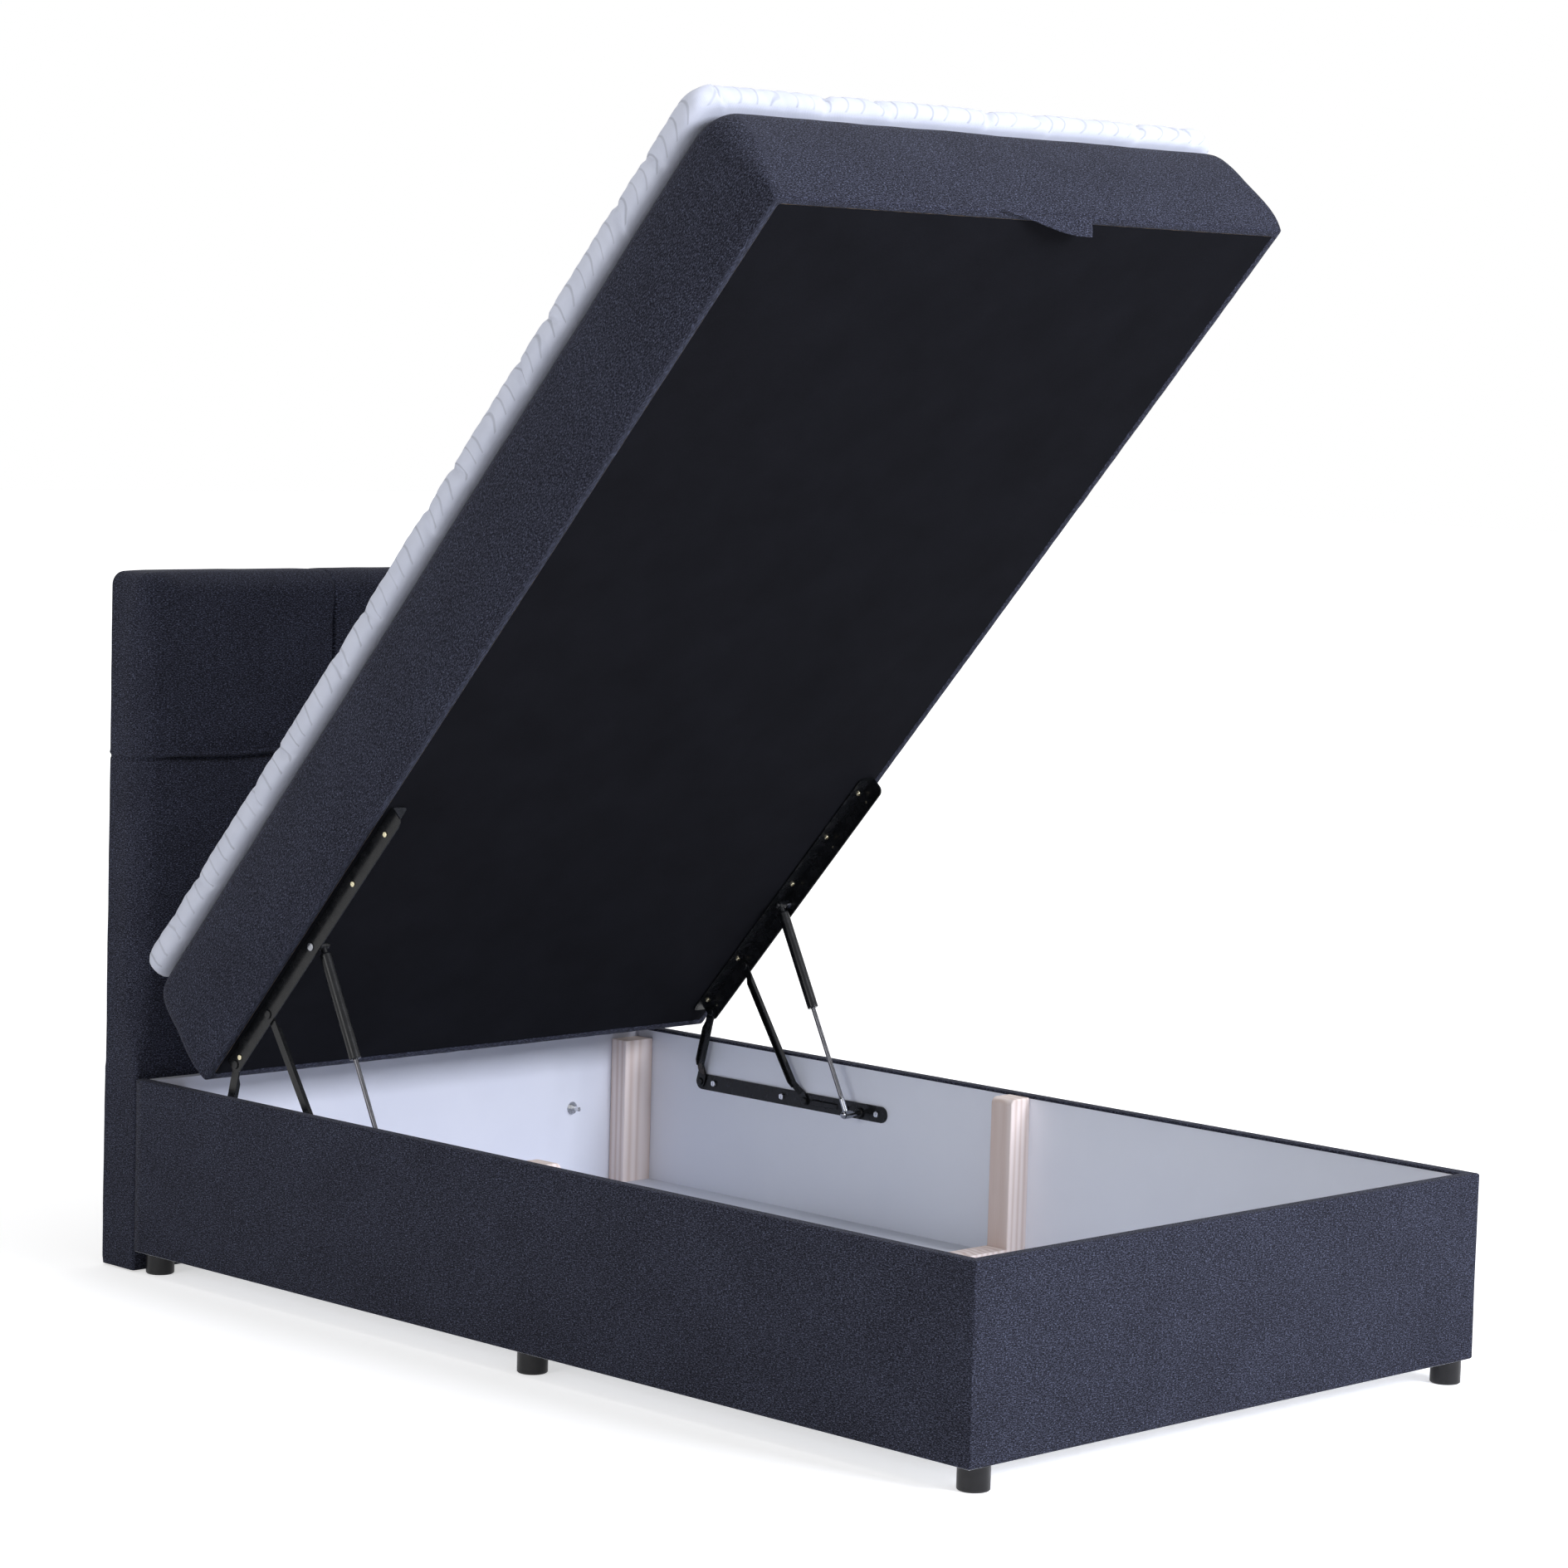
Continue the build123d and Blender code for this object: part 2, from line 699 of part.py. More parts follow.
def rail_screws():
    """Pan-head screws up into the lid's frame, and short bolts in the hanging leg."""
    screws = []
    for u in rail_screw_us:
        head = rod_z(rail_screw_x, u, -rail_thickness - 3, -rail_thickness, 9)
        head = fillet(head.edges().group_by(Axis.Z)[0], 1.6)
        slot = box(rail_screw_x - 0.6, rail_screw_x + 0.6, u - 3, u + 3,
                   -rail_thickness - 4, -rail_thickness - 2)
        screw = head - slot + rod_z(rail_screw_x, u, -rail_thickness, 20, 4)
        screws += [screw, mirrored(screw)]
    for u in rail_side_bolt_us:
        head = rod_x(rail_outer, rail_outer + 2.2, u, -rail_pivot_drop, 10)
        head = fillet(head.edges().group_by(Axis.X)[-1], 1.2)
        bolt = head + rod_x(rail_inner, rail_outer, u, -rail_pivot_drop, 5)
        screws += [bolt, mirrored(bolt)]
    return screws


def upper_rivets():
    """Rivets in the rails. The rear ones carry the links, the front ones meet the link flush."""
    rivets = []
    link_inner = upper_plate_outer - plate_thickness
    for u, inner in ((rear_rail_u, link_inner - 0.3), (front_rail_u, rail_inner)):
        shank = rod_x(inner, rail_outer, u, -rail_pivot_drop, pin_diameter)
        head = rod_x(rail_outer, rail_outer + 2.4, u, -rail_pivot_drop, 16)
        rivet = shank + fillet(head.edges().group_by(Axis.X)[-1], 1.4)
        if inner < rail_inner:
            tail = rod_x(inner - 2.6, inner, u, -rail_pivot_drop, 14)
            rivet += fillet(tail.edges().group_by(Axis.X)[0], 1.5)
        rivets += [rivet, mirrored(rivet)]
    return rivets


def upper_studs():
    """Studs on the rails that the struts' upper eyes sit against."""
    u, h = strut_rail_u, -strut_rail_drop
    nut = rod_x(rail_inner - 5, rail_inner, u, h, 16)
    stud = rod_x(strut_eye_outer + 1.5, rail_inner - 5, u, h, pin_diameter)
    head = rod_x(rail_outer, rail_outer + 2.4, u, h, 15)
    head = fillet(head.edges().group_by(Axis.X)[-1], 1.4)
    return [stud + nut, mirrored(stud + nut), head, mirrored(head)]


def pull_tab():
    """Cloth band sewn under the middle of the foot edge. It leans in below the lid."""
    half_length = 105
    top, sag, count = -2.2, 30, 10
    points = [(half_length, top), (-half_length, top)]
    for i in range(1, count + 1):
        t = i / count
        drop = sag * t * t * (3 - 2 * t)
        points.append((-half_length + (2 * half_length - 3) * t, top - drop))
    outline = make_face(Polyline(*points, close=True))
    band = Rot(pull_tab_lean, 0, 0) * extrude(Plane.XZ * outline, -3)
    return Pos(5, -2, 0) * band


def topper():
    """Thin quilted topper with soft edges and a slight crown."""
    u0 = topper_start
    sections = []
    for rise, inset, radius in ((0.4, 12, 20), (8, 2.5, 26), (22, 0, 30), (34, 1.5, 30),
                                (43, 9, 28), (topper_thickness, 30, 26)):
        width = topper_right - topper_left - 2 * inset
        length = topper_length - 2 * inset
        plane = Plane(origin=((topper_left + topper_right) / 2, u0 + topper_length / 2,
                              lid_height + rise), z_dir=(0, 0, 1))
        sections.append(plane * RectangleRounded(width, length, radius))
    return loft(sections)


def save_box():
    save_pair("side_panel", side_panel())
    save("foot_panel", foot_panel())
    save("head_panel", head_panel())
    wrap = box_wrap()
    wedge = foot_wedge()
    save("foot_cover", wrap & wedge)
    sides = wrap - wedge
    right = box(0, box_width, foot_y - 1, junction_y + 1, 0, box_top + 1)
    save("side_cover_right", sides & right)
    save("side_cover_left", sides - right)
    save_pair("corner_post_foot", corner_post(-1))
    save_pair("corner_post_head", corner_post(1))
    save("cross_beam", cross_beam())
    save_pair("mid_post", mid_post())
    save("floor_panel_foot", floor_panel(foot_inner_y + floor_gap, mid_y - floor_gap))
    save("floor_panel_head", floor_panel(mid_y + floor_gap, head_inner_y - floor_gap))
    leg_x = box_width / 2 - leg_inset_x
    for name, y in (("foot", foot_y + leg_inset_y), ("mid", mid_y),
                    ("head", junction_y - leg_inset_y)):
        save_pair(f"leg_{name}", leg(leg_x, y))


def save_headboard():
    save("headboard_frame", headboard_frame())
    save("headboard_board", headboard_board())
    save("headboard_pad_lower", lower_pad())
    seam = seam_gap / 2
    save("headboard_pad_left", upper_pad(-headboard_half, -upright_seam_x - seam, 1, 0.35))
    save("headboard_pad_centre", upper_pad(-upright_seam_x + seam, upright_seam_x - seam, 0.35, 0.35))
    save("headboard_pad_right", upper_pad(upright_seam_x + seam, headboard_half, 0.35, 1))
    save("headboard_border", headboard_border())
    save("headboard_back_cloth", headboard_back_cloth())
    save("headboard_glides", headboard_glides())
    save("headboard_bolts", headboard_bolts())
    save("headboard_nuts", headboard_nuts() + headboard_washers())


def save_lift():
    save_pair("bracket", bracket())
    save("bracket_bolts", bracket_bolts())
    save("lower_rivets", lower_rivets())
    save("lower_studs", lower_studs())
    save_pair("rear_link", rear_link())
    save_pair("front_link", front_link())
    save_pair("strut_end", strut_piece(strut_end()))
    save_pair("strut_rod", strut_piece(strut_rod()))
    save_pair("strut_cylinder", strut_piece(strut_cylinder()))


def save_lid():
    save("lid_cover", on_lid(lid_cover()))
    save("lid_dust_cover", on_lid(lid_dust_cover()))
    save("lid_frame", [on_lid(piece) for piece in lid_frame()])
    save("lid_spring_core", on_lid(lid_spring_core()))
    save("lid_foam", on_lid(lid_foam()))
    rail = lid_rail()
    save("lid_rail_right", on_lid(rail))
    save("lid_rail_left", on_lid(mirrored(rail)))
    save("rail_screws", [on_lid(piece) for piece in rail_screws()])
    save("upper_rivets", [on_lid(piece) for piece in upper_rivets()])
    save("upper_studs", [on_lid(piece) for piece in upper_studs()])
    save("pull_tab", on_lid(pull_tab()))
    save("topper", on_lid(topper()))


save_box()
save_headboard()
save_lift()
save_lid()
print("rear link", rear_link_length, "at", rear_angle, "pivot joint", rear_joint)
print("front link", front_link_length, "at", front_angle, "pivot joint", front_joint)
print("strut", strut_length, "at", strut_angle, "foot edge of the open lid", open_edge)
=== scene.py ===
import json
import math

import bpy
import numpy as np
from mathutils import Matrix, Vector, noise


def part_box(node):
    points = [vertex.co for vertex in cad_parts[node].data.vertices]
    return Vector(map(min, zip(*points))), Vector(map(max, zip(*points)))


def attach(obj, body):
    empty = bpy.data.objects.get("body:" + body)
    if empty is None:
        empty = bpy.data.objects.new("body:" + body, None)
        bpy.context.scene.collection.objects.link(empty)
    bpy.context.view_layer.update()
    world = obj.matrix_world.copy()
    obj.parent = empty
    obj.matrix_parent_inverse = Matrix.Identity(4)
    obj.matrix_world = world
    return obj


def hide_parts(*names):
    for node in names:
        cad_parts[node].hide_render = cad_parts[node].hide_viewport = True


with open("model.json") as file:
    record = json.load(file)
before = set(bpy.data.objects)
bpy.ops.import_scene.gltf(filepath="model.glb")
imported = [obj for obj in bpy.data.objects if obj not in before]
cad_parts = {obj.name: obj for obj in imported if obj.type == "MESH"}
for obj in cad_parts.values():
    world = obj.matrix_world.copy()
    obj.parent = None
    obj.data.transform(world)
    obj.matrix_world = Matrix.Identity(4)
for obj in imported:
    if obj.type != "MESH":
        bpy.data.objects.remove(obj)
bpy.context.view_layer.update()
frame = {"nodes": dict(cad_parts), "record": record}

MM = 0.001
PHOTO_SIZE = 1889

# Camera that took the photograph, in millimetres and degrees
CAMERA_PLACE = (-5224.5, -5289.5, 1587.5)
CAMERA_HEADING = -44.81
CAMERA_PITCH = 5.17
CAMERA_ROLL = 1.58
CAMERA_FOCUS_PX = 5356.8

# The lid's own frame: u runs along its underside from the foot edge, h is height above it
LID_ANGLE = math.radians(48.06)
HEM_WIDTH = 14
LINING_GAP = 0.3
LINING_THICKNESS = 1.2
LID_LENGTH = 2010
LID_HALF = 590
LID_HEIGHT = 205
LID_BULGE = 16
LID_BULGE_HEIGHT = 112
LID_TOP_ROUND = 38
LID_CORNER_LOW = 4
LID_CORNER_HIGH = 50
TOPPER_THICKNESS = 48
TOPPER_LEFT, TOPPER_RIGHT = -606, 600
TOPPER_START, TOPPER_LENGTH = -12, 2000
TOPPER_UNDER = 150
QUILT_PITCH = 280
RIPPLE_PITCH = 27

# Box and headboard
BOX_HALF = 600
BOX_FOOT = -1050
BOX_HEAD = 950
BOX_BOTTOM = 38
BOX_TOP = 343
BOX_EDGE_ROUND = 4.0
BOARD_INNER = 578
HEADBOARD_FRONT = BOX_HEAD + 2.0
HEADBOARD_BACK = 1048
HEADBOARD_TOP = 1228
SEAM_Z = 905
SEAM_X = 172
BOARD_HALF = 590
BOARD_FRONT = 972
BOARD_TOP = 1218
BOARD_CLEARANCE = 2.5
PADDING_FROM = 360


def lid_matrix():
    """Places lid coordinates in the world. The black cloth under the lid tells where it is."""
    low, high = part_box("lid_dust_cover")
    c, s = math.cos(LID_ANGLE), math.sin(LID_ANGLE)
    edge = (HEM_WIDTH + LINING_GAP) * MM
    y = low[1] - edge * c
    z = high[2] + edge * s - LINING_THICKNESS * MM * c
    return Matrix(((1, 0, 0, 0), (0, c, s, y), (0, -s, c, z), (0, 0, 0, 1)))


# Mesh helpers
def smooth_step(t):
    t = np.clip(t, 0.0, 1.0)
    return t * t * (3 - 2 * t)


def wave(*args, scale=1.0, seed=0.0):
    """Smooth noise between about -1 and 1 at a point given in millimetres."""
    p = [a / scale for a in args] + [0.0] * (3 - len(args))
    return noise.noise(Vector((p[0] + seed, p[1] + 0.37 * seed, p[2] - seed)))


def add_piece(name, points, faces, uvs, material, body, place=None):
    """A mesh piece from points in millimetres. uvs is one (u, v) in metres per point."""
    mesh = bpy.data.meshes.new(name)
    mesh.from_pydata([tuple(c * MM for c in p) for p in points], [], faces)
    mesh.update()
    layer = mesh.uv_layers.new(name="Cloth")
    for loop in mesh.loops:
        layer.data[loop.index].uv = uvs[loop.vertex_index]
    for polygon in mesh.polygons:
        polygon.use_smooth = True
    piece = bpy.data.objects.new(name, mesh)
    bpy.context.scene.collection.objects.link(piece)
    piece.data.materials.append(material)
    if place is not None:
        piece.matrix_world = place
        bpy.context.view_layer.update()
    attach(piece, body)
    return piece


def strip_faces(columns, rows, closed=False, flip=False):
    """Quads of a grid stored row by row."""
    faces = []
    span = columns if closed else columns - 1
    for j in range(rows - 1):
        for i in range(span):
            k = (i + 1) % columns
            quad = (j * columns + i, j * columns + k, (j + 1) * columns + k, (j + 1) * columns + i)
            faces.append(tuple(reversed(quad)) if flip else quad)
    return faces


def rounded_loop(x0, x1, u0, u1, radius, counts=(96, 150, 12)):
    """Points of a rounded rectangle, the same number for every size, with outward directions."""
    across, along, corner = counts
    xa, xb, ua, ub = x0 + radius, x1 - radius, u0 + radius, u1 - radius
    points = []
    sides = (
        ((xa, u0), (xb, u0), (0, -1), across, (xb, ua), -90),
        ((x1, ua), (x1, ub), (1, 0), along, (xb, ub), 0),
        ((xb, u1), (xa, u1), (0, 1), across, (xa, ub), 90),
        ((x0, ub), (x0, ua), (-1, 0), along, (xa, ua), 180),
    )
    for start, end, out, count, centre, angle in sides:
        for i in range(count):
            t = i / count
            points.append((start[0] + (end[0] - start[0]) * t,
                           start[1] + (end[1] - start[1]) * t, out[0], out[1]))
        for i in range(corner):
            a = math.radians(angle + 90 * i / corner)
            points.append((centre[0] + radius * math.cos(a), centre[1] + radius * math.sin(a),
                           math.cos(a), math.sin(a)))
    return points


def loop_lengths(points):
    total, lengths = 0.0, [0.0]
    for a, b in zip(points, points[1:]):
        total += math.hypot(b[0] - a[0], b[1] - a[1])
        lengths.append(total)
    return lengths


# Materials
def new_material(name, color, roughness, metallic=0.0, specular=0.5):
    material = bpy.data.materials.new(name)
    material.use_nodes = True
    tree = material.node_tree
    shader = tree.nodes["Principled BSDF"]
    shader.inputs["Base Color"].default_value = (*color, 1)
    shader.inputs["Roughness"].default_value = roughness
    shader.inputs["Metallic"].default_value = metallic
    shader.inputs["Specular IOR Level"].default_value = specular
    return material, tree, shader


def node(tree, kind, inputs=None, **settings):
    made = tree.nodes.new(kind)
    for key, value in settings.items():
        setattr(made, key, value)
    for key, value in (inputs or {}).items():
        if hasattr(value, "is_output"):
            tree.links.new(value, made.inputs[key])
        else:
            made.inputs[key].default_value = value
    return made


def mapped(tree, source, scale):
    coordinates = node(tree, "ShaderNodeTexCoord").outputs[source]
    mapping = node(tree, "ShaderNodeMapping", {"Vector": coordinates, "Scale": scale})
    return mapping.outputs["Vector"]


def grain(tree, vector, scale=1.0, detail=3.0, roughness=0.6):
    return node(tree, "ShaderNodeTexNoise", {
        "Vector": vector, "Scale": scale, "Detail": detail,
        "Roughness": roughness}).outputs["Fac"]


def ramp(tree, factor, stops):
    made = node(tree, "ShaderNodeValToRGB", {"Fac": factor})
    elements = made.color_ramp.elements
    while len(elements) < len(stops):
        elements.new(0.5)
    for element, (place, color) in zip(elements, stops):
        element.position = place
        element.color = (*color, 1)
    return made.outputs["Color"]


def math_node(tree, operation, a, b, clamp=False):
    made = tree.nodes.new("ShaderNodeMath")
    made.operation = operation
    made.use_clamp = clamp
    for socket, value in zip(made.inputs, (a, b)):
        if hasattr(value, "is_output"):
            tree.links.new(value, socket)
        else:
            socket.default_value = value
    return made.outputs["Value"]


def bump(tree, shader, height, strength, distance):
    made = node(tree, "ShaderNodeBump",
                {"Height": height, "Strength": strength, "Distance": distance})
    tree.links.new(made.outputs["Normal"], shader.inputs["Normal"])


def woven_cloth(name, dark, middle, light, sheen):
    """Melange upholstery: short pale threads scattered over a dark plain weave."""
    material, tree, shader = new_material(name, middle, 0.95, specular=0.12)
    shader.inputs["Sheen Weight"].default_value = sheen
    shader.inputs["Sheen Roughness"].default_value = 0.45
    weft = grain(tree, mapped(tree, "UV", (240, 900, 1)), detail=1.5, roughness=0.55)
    warp = grain(tree, mapped(tree, "UV", (850, 360, 1)), detail=1.5, roughness=0.55)
    slub = grain(tree, mapped(tree, "UV", (60, 520, 1)), detail=2.0)
    cloud = grain(tree, mapped(tree, "UV", (6, 9, 1)), detail=2.0)
    threads = math_node(tree, "MAXIMUM", weft, math_node(tree, "MULTIPLY", warp, 0.93))
    mixed = math_node(tree, "ADD", math_node(tree, "MULTIPLY", threads, 0.80),
                      math_node(tree, "MULTIPLY", slub, 0.16))
    mixed = math_node(tree, "ADD", mixed, math_node(tree, "MULTIPLY", cloud, 0.04))
    color = ramp(tree, mixed, [(0.46, dark), (0.555, middle), (0.65, light)])
    tree.links.new(color, shader.inputs["Base Color"])
    ribs = node(tree, "ShaderNodeTexWave", {"Vector": mapped(tree, "UV", (1, 1, 1)),
                                            "Scale": 190.0, "Distortion": 0.6,
                                            "Detail": 1.0, "Detail Scale": 60.0},
                bands_direction="Y").outputs["Fac"]
    height = math_node(tree, "ADD", mixed, math_node(tree, "MULTIPLY", ribs, 0.25))
    bump(tree, shader, height, 0.22, 0.0005)
    return material


def black_lining():
    """Thin spun cloth with a pattern of small pressed points."""
    material, tree, shader = new_material("lining", (0.0065, 0.0068, 0.0085), 0.95,
                                          specular=0.04)
    dots = node(tree, "ShaderNodeTexVoronoi",
                {"Vector": mapped(tree, "UV", (1, 1, 1)), "Scale": 520.0,
                 "Randomness": 0.35}).outputs["Distance"]
    fibre = grain(tree, mapped(tree, "UV", (300, 300, 1)), detail=4.0)
    cloud = grain(tree, mapped(tree, "UV", (7, 7, 1)), detail=3.0)
    mixed = math_node(tree, "ADD", math_node(tree, "MULTIPLY", fibre, 0.5),
                      math_node(tree, "MULTIPLY", cloud, 0.5))
    color = ramp(tree, mixed, [(0.35, (0.0058, 0.0060, 0.0078)), (0.6, (0.0082, 0.0085, 0.0112)),
                               (0.75, (0.0115, 0.0118, 0.0148))])
    tree.links.new(color, shader.inputs["Base Color"])
    bump(tree, shader, math_node(tree, "ADD", dots, fibre), 0.35, 0.0004)
    return material


def edge_crease_shade_mask(tree):
    """Thin bowed crease lines on the topper's edge, 1 in a crease and 0 elsewhere: the mask of the
    painted crease shade.
    """
    edge_middle, edge_half, bow, spread = 0.166, 0.022, 0.010, 0.05
    place = node(tree, "ShaderNodeSeparateXYZ", {"Vector": mapped(tree, "UV", (1, 1, 1))}).outputs
    rise = math_node(tree, "DIVIDE", math_node(tree, "SUBTRACT", place["Y"], edge_middle),
                     edge_half)
    bowed = math_node(tree, "MULTIPLY", math_node(tree, "MULTIPLY", rise, rise), bow)
    wander = grain(tree, mapped(tree, "UV", (14, 5, 1)), detail=1.0)
    along = math_node(tree, "ADD", math_node(tree, "ADD", place["X"], bowed),
                      math_node(tree, "MULTIPLY", wander, spread))
    bent = node(tree, "ShaderNodeCombineXYZ", {"X": along}).outputs["Vector"]
    band = node(tree, "ShaderNodeTexWave", {"Vector": bent, "Scale": 10.6},
                bands_direction="X").outputs["Fac"]
    line = math_node(tree, "SUBTRACT", 1.0, math_node(tree, "DIVIDE", band, 0.07), clamp=True)
    depth = grain(tree, mapped(tree, "UV", (30, 8, 1)), detail=1.0)
    line = math_node(tree, "MULTIPLY", line, math_node(tree, "MULTIPLY", depth, 1.7), clamp=True)
    near = math_node(tree, "LESS_THAN", math_node(tree, "ABSOLUTE", rise, 0.0), 1.05)
    return math_node(tree, "MULTIPLY", line, near)


def white_quilt():
    """Fine white jersey of the topper, with painted shade along the crease lines of its edge."""
    material, tree, shader = new_material("topper_cloth", (0.80, 0.83, 0.93), 0.9, specular=0.2)
    shader.inputs["Sheen Weight"].default_value = 0.15
    knit = node(tree, "ShaderNodeTexWave",
                {"Vector": mapped(tree, "UV", (1, 1, 1)), "Scale": 160.0, "Distortion": 1.5,
                 "Detail": 2.0, "Detail Scale": 40.0}, bands_direction="X").outputs["Fac"]
    fuzz = grain(tree, mapped(tree, "UV", (420, 420, 1)), detail=3.0)
    cloud = grain(tree, mapped(tree, "UV", (11, 11, 1)), detail=3.0)
    color = ramp(tree, cloud, [(0.3, (0.62, 0.65, 0.76)), (0.7, (0.70, 0.73, 0.84))])
    crease = edge_crease_shade_mask(tree)
    # Painted shade: the base colour is darkened along the edge's crease lines.
    shade = math_node(tree, "SUBTRACT", 1.0, math_node(tree, "MULTIPLY", crease, 0.27))
    crease_shaded_color = node(tree, "ShaderNodeVectorMath", {0: color, "Scale": shade}, operation="SCALE")
    tree.links.new(crease_shaded_color.outputs["Vector"], shader.inputs["Base Color"])
    height = math_node(tree, "ADD", fuzz, math_node(tree, "MULTIPLY", knit, 0.5))
    bump(tree, shader, height, 0.3, 0.0006)
    return material


def laminate(name, low, high, roughness):
    """White laminated board with a very fine orange peel and faint clouding."""
    material, tree, shader = new_material(name, high, roughness, specular=0.4)
    cloud = grain(tree, mapped(tree, "Object", (3, 3, 3)), detail=4.0)
    speck = grain(tree, mapped(tree, "Object", (900, 900, 900)), detail=2.0)
    color = ramp(tree, cloud, [(0.3, low), (0.7, high)])
    tree.links.new(color, shader.inputs["Base Color"])
    rough = math_node(tree, "ADD", math_node(tree, "MULTIPLY", cloud, 0.12), roughness - 0.06)
    tree.links.new(rough, shader.inputs["Roughness"])
    bump(tree, shader, speck, 0.12, 0.0002)
    return material


def wood(name, pale, middle, dark):
    """Sawn softwood: growth rings stretched along the grain, fine fibres and pores."""
    material, tree, shader = new_material(name, middle, 0.6, specular=0.15)
    along = mapped(tree, "Object", (38, 38, 2.2))
    drift = grain(tree, along, scale=0.35, detail=2.0)
    band = node(tree, "ShaderNodeTexWave",
                {"Vector": along, "Scale": 0.55, "Distortion": 9.0, "Detail": 2.0,
                 "Detail Scale": 0.5, "Detail Roughness": 0.6},
                wave_type="RINGS", rings_direction="Z").outputs["Fac"]
    fibre = grain(tree, mapped(tree, "Object", (900, 900, 18)), detail=3.0)
    mixed = math_node(tree, "ADD", math_node(tree, "MULTIPLY", band, 0.55),
                      math_node(tree, "MULTIPLY", fibre, 0.25))
    mixed = math_node(tree, "ADD", mixed, math_node(tree, "MULTIPLY", drift, 0.2))
    color = ramp(tree, mixed, [(0.12, pale), (0.55, middle), (0.92, dark)])
    tree.links.new(color, shader.inputs["Base Color"])
    bump(tree, shader, math_node(tree, "ADD", fibre, band), 0.25, 0.0004)
    return material


def gloss_black():
    """Black stoved paint on pressed steel, with slight unevenness and dust."""
    material, tree, shader = new_material("black_steel", (0.007, 0.0075, 0.009), 0.26,
                                          specular=0.20)
    shader.inputs["Coat Weight"].default_value = 0.06
    shader.inputs["Coat Roughness"].default_value = 0.12
    smear = grain(tree, mapped(tree, "Object", (45, 45, 45)), detail=5.0)
    rough = ramp(tree, smear, [(0.3, (0.17,) * 3), (0.75, (0.36,) * 3)])
    tree.links.new(rough, shader.inputs["Roughness"])
    peel = grain(tree, mapped(tree, "Object", (480, 480, 480)), detail=2.0)
    tint = ramp(tree, smear, [(0.35, (0.005, 0.0055, 0.0065)), (0.8, (0.010, 0.0105, 0.012))])
    tree.links.new(tint, shader.inputs["Base Color"])
    bump(tree, shader, peel, 0.12, 0.0003)
    return material


def bright_metal(name, color, low, high):
    """Plated steel with fine turning marks and small changes of gloss."""
    material, tree, shader = new_material(name, color, low, metallic=1.0)
    smear = grain(tree, mapped(tree, "Object", (160, 160, 160)), detail=4.0)
    rough = ramp(tree, smear, [(0.3, (low,) * 3), (0.75, (high,) * 3)])
    tree.links.new(rough, shader.inputs["Roughness"])
    shade = tuple(c * 0.82 for c in color)
    tint = ramp(tree, smear, [(0.3, shade), (0.7, color)])
    tree.links.new(tint, shader.inputs["Base Color"])
    scratch = grain(tree, mapped(tree, "Object", (2500, 2500, 300)), detail=2.0)
    bump(tree, shader, scratch, 0.1, 0.0001)
    return material


def moulded_plastic():
    material, tree, shader = new_material("black_plastic", (0.009, 0.009, 0.011), 0.33,
                                          specular=0.3)
    grit = grain(tree, mapped(tree, "Object", (1400, 1400, 1400)), detail=2.0)
    smear = grain(tree, mapped(tree, "Object", (60, 60, 60)), detail=4.0)
    rough = ramp(tree, smear, [(0.3, (0.26,) * 3), (0.75, (0.46,) * 3)])
    tree.links.new(rough, shader.inputs["Roughness"])
    tint = ramp(tree, smear, [(0.3, (0.007, 0.007, 0.0085)), (0.75, (0.013, 0.013, 0.015))])
    tree.links.new(tint, shader.inputs["Base Color"])
    bump(tree, shader, grit, 0.2, 0.0002)
    return material


def porous(name, low, high):
    """Foam and felt inside the lid."""
    material, tree, shader = new_material(name, high, 0.95, specular=0.1)
    pores = grain(tree, mapped(tree, "Object", (320, 320, 320)), detail=4.0)
    color = ramp(tree, pores, [(0.35, low), (0.65, high)])
    tree.links.new(color, shader.inputs["Base Color"])
    bump(tree, shader, pores, 0.6, 0.001)
    return material


CLOTH = woven_cloth("upholstery", (0.007, 0.007, 0.0105), (0.030, 0.032, 0.049),
                    (0.112, 0.124, 0.188), 0.03)
LINING = black_lining()
QUILT = white_quilt()
FINISH = {
    "white_board": laminate("white_board", (0.80, 0.83, 0.92), (0.84, 0.87, 0.95), 0.42),
    "floor_board": laminate("floor_board", (0.74, 0.77, 0.85), (0.78, 0.81, 0.88), 0.5),
    "pine": wood("pine", (0.90, 0.80, 0.77), (0.82, 0.71, 0.67), (0.66, 0.52, 0.46)),
    "frame_wood": wood("frame_wood", (0.62, 0.48, 0.33), (0.55, 0.40, 0.26),
                       (0.40, 0.27, 0.16)),
    "black_plastic": moulded_plastic(),
    "black_steel": gloss_black(),
    # Chrome's colour is set low: a painted darker reflection of its surroundings.
    "chrome": bright_metal("chrome", (0.30, 0.31, 0.34), 0.12, 0.24),
    # Darker copy of the chrome for the strut rods: a painted dark reflection.
    "dark_rod": bright_metal("dark_rod", (0.10, 0.10, 0.11), 0.12, 0.22),
    # Darker copy of the white board for the head panel: painted shade.
    "shaded_board": laminate("shaded_board", (0.66, 0.68, 0.77), (0.70, 0.72, 0.80), 0.42),
    "bolt_steel": bright_metal("bolt_steel", (0.72, 0.73, 0.75), 0.18, 0.34),
    "yellow_zinc": bright_metal("yellow_zinc", (0.72, 0.66, 0.46), 0.2, 0.36),
    "foam": porous("foam", (0.70, 0.64, 0.47), (0.80, 0.75, 0.60)),
    "felt": porous("felt", (0.30, 0.30, 0.31), (0.50, 0.50, 0.52)),
}


# The strut rods take the darker chrome copy, a painted dark reflection.
FINISH_OF_NODE = {"strut_rod_left": "dark_rod", "strut_rod_right": "dark_rod",
                  # The head panel takes the darker white board copy, painted shade.
                  "head_panel": "shaded_board"}


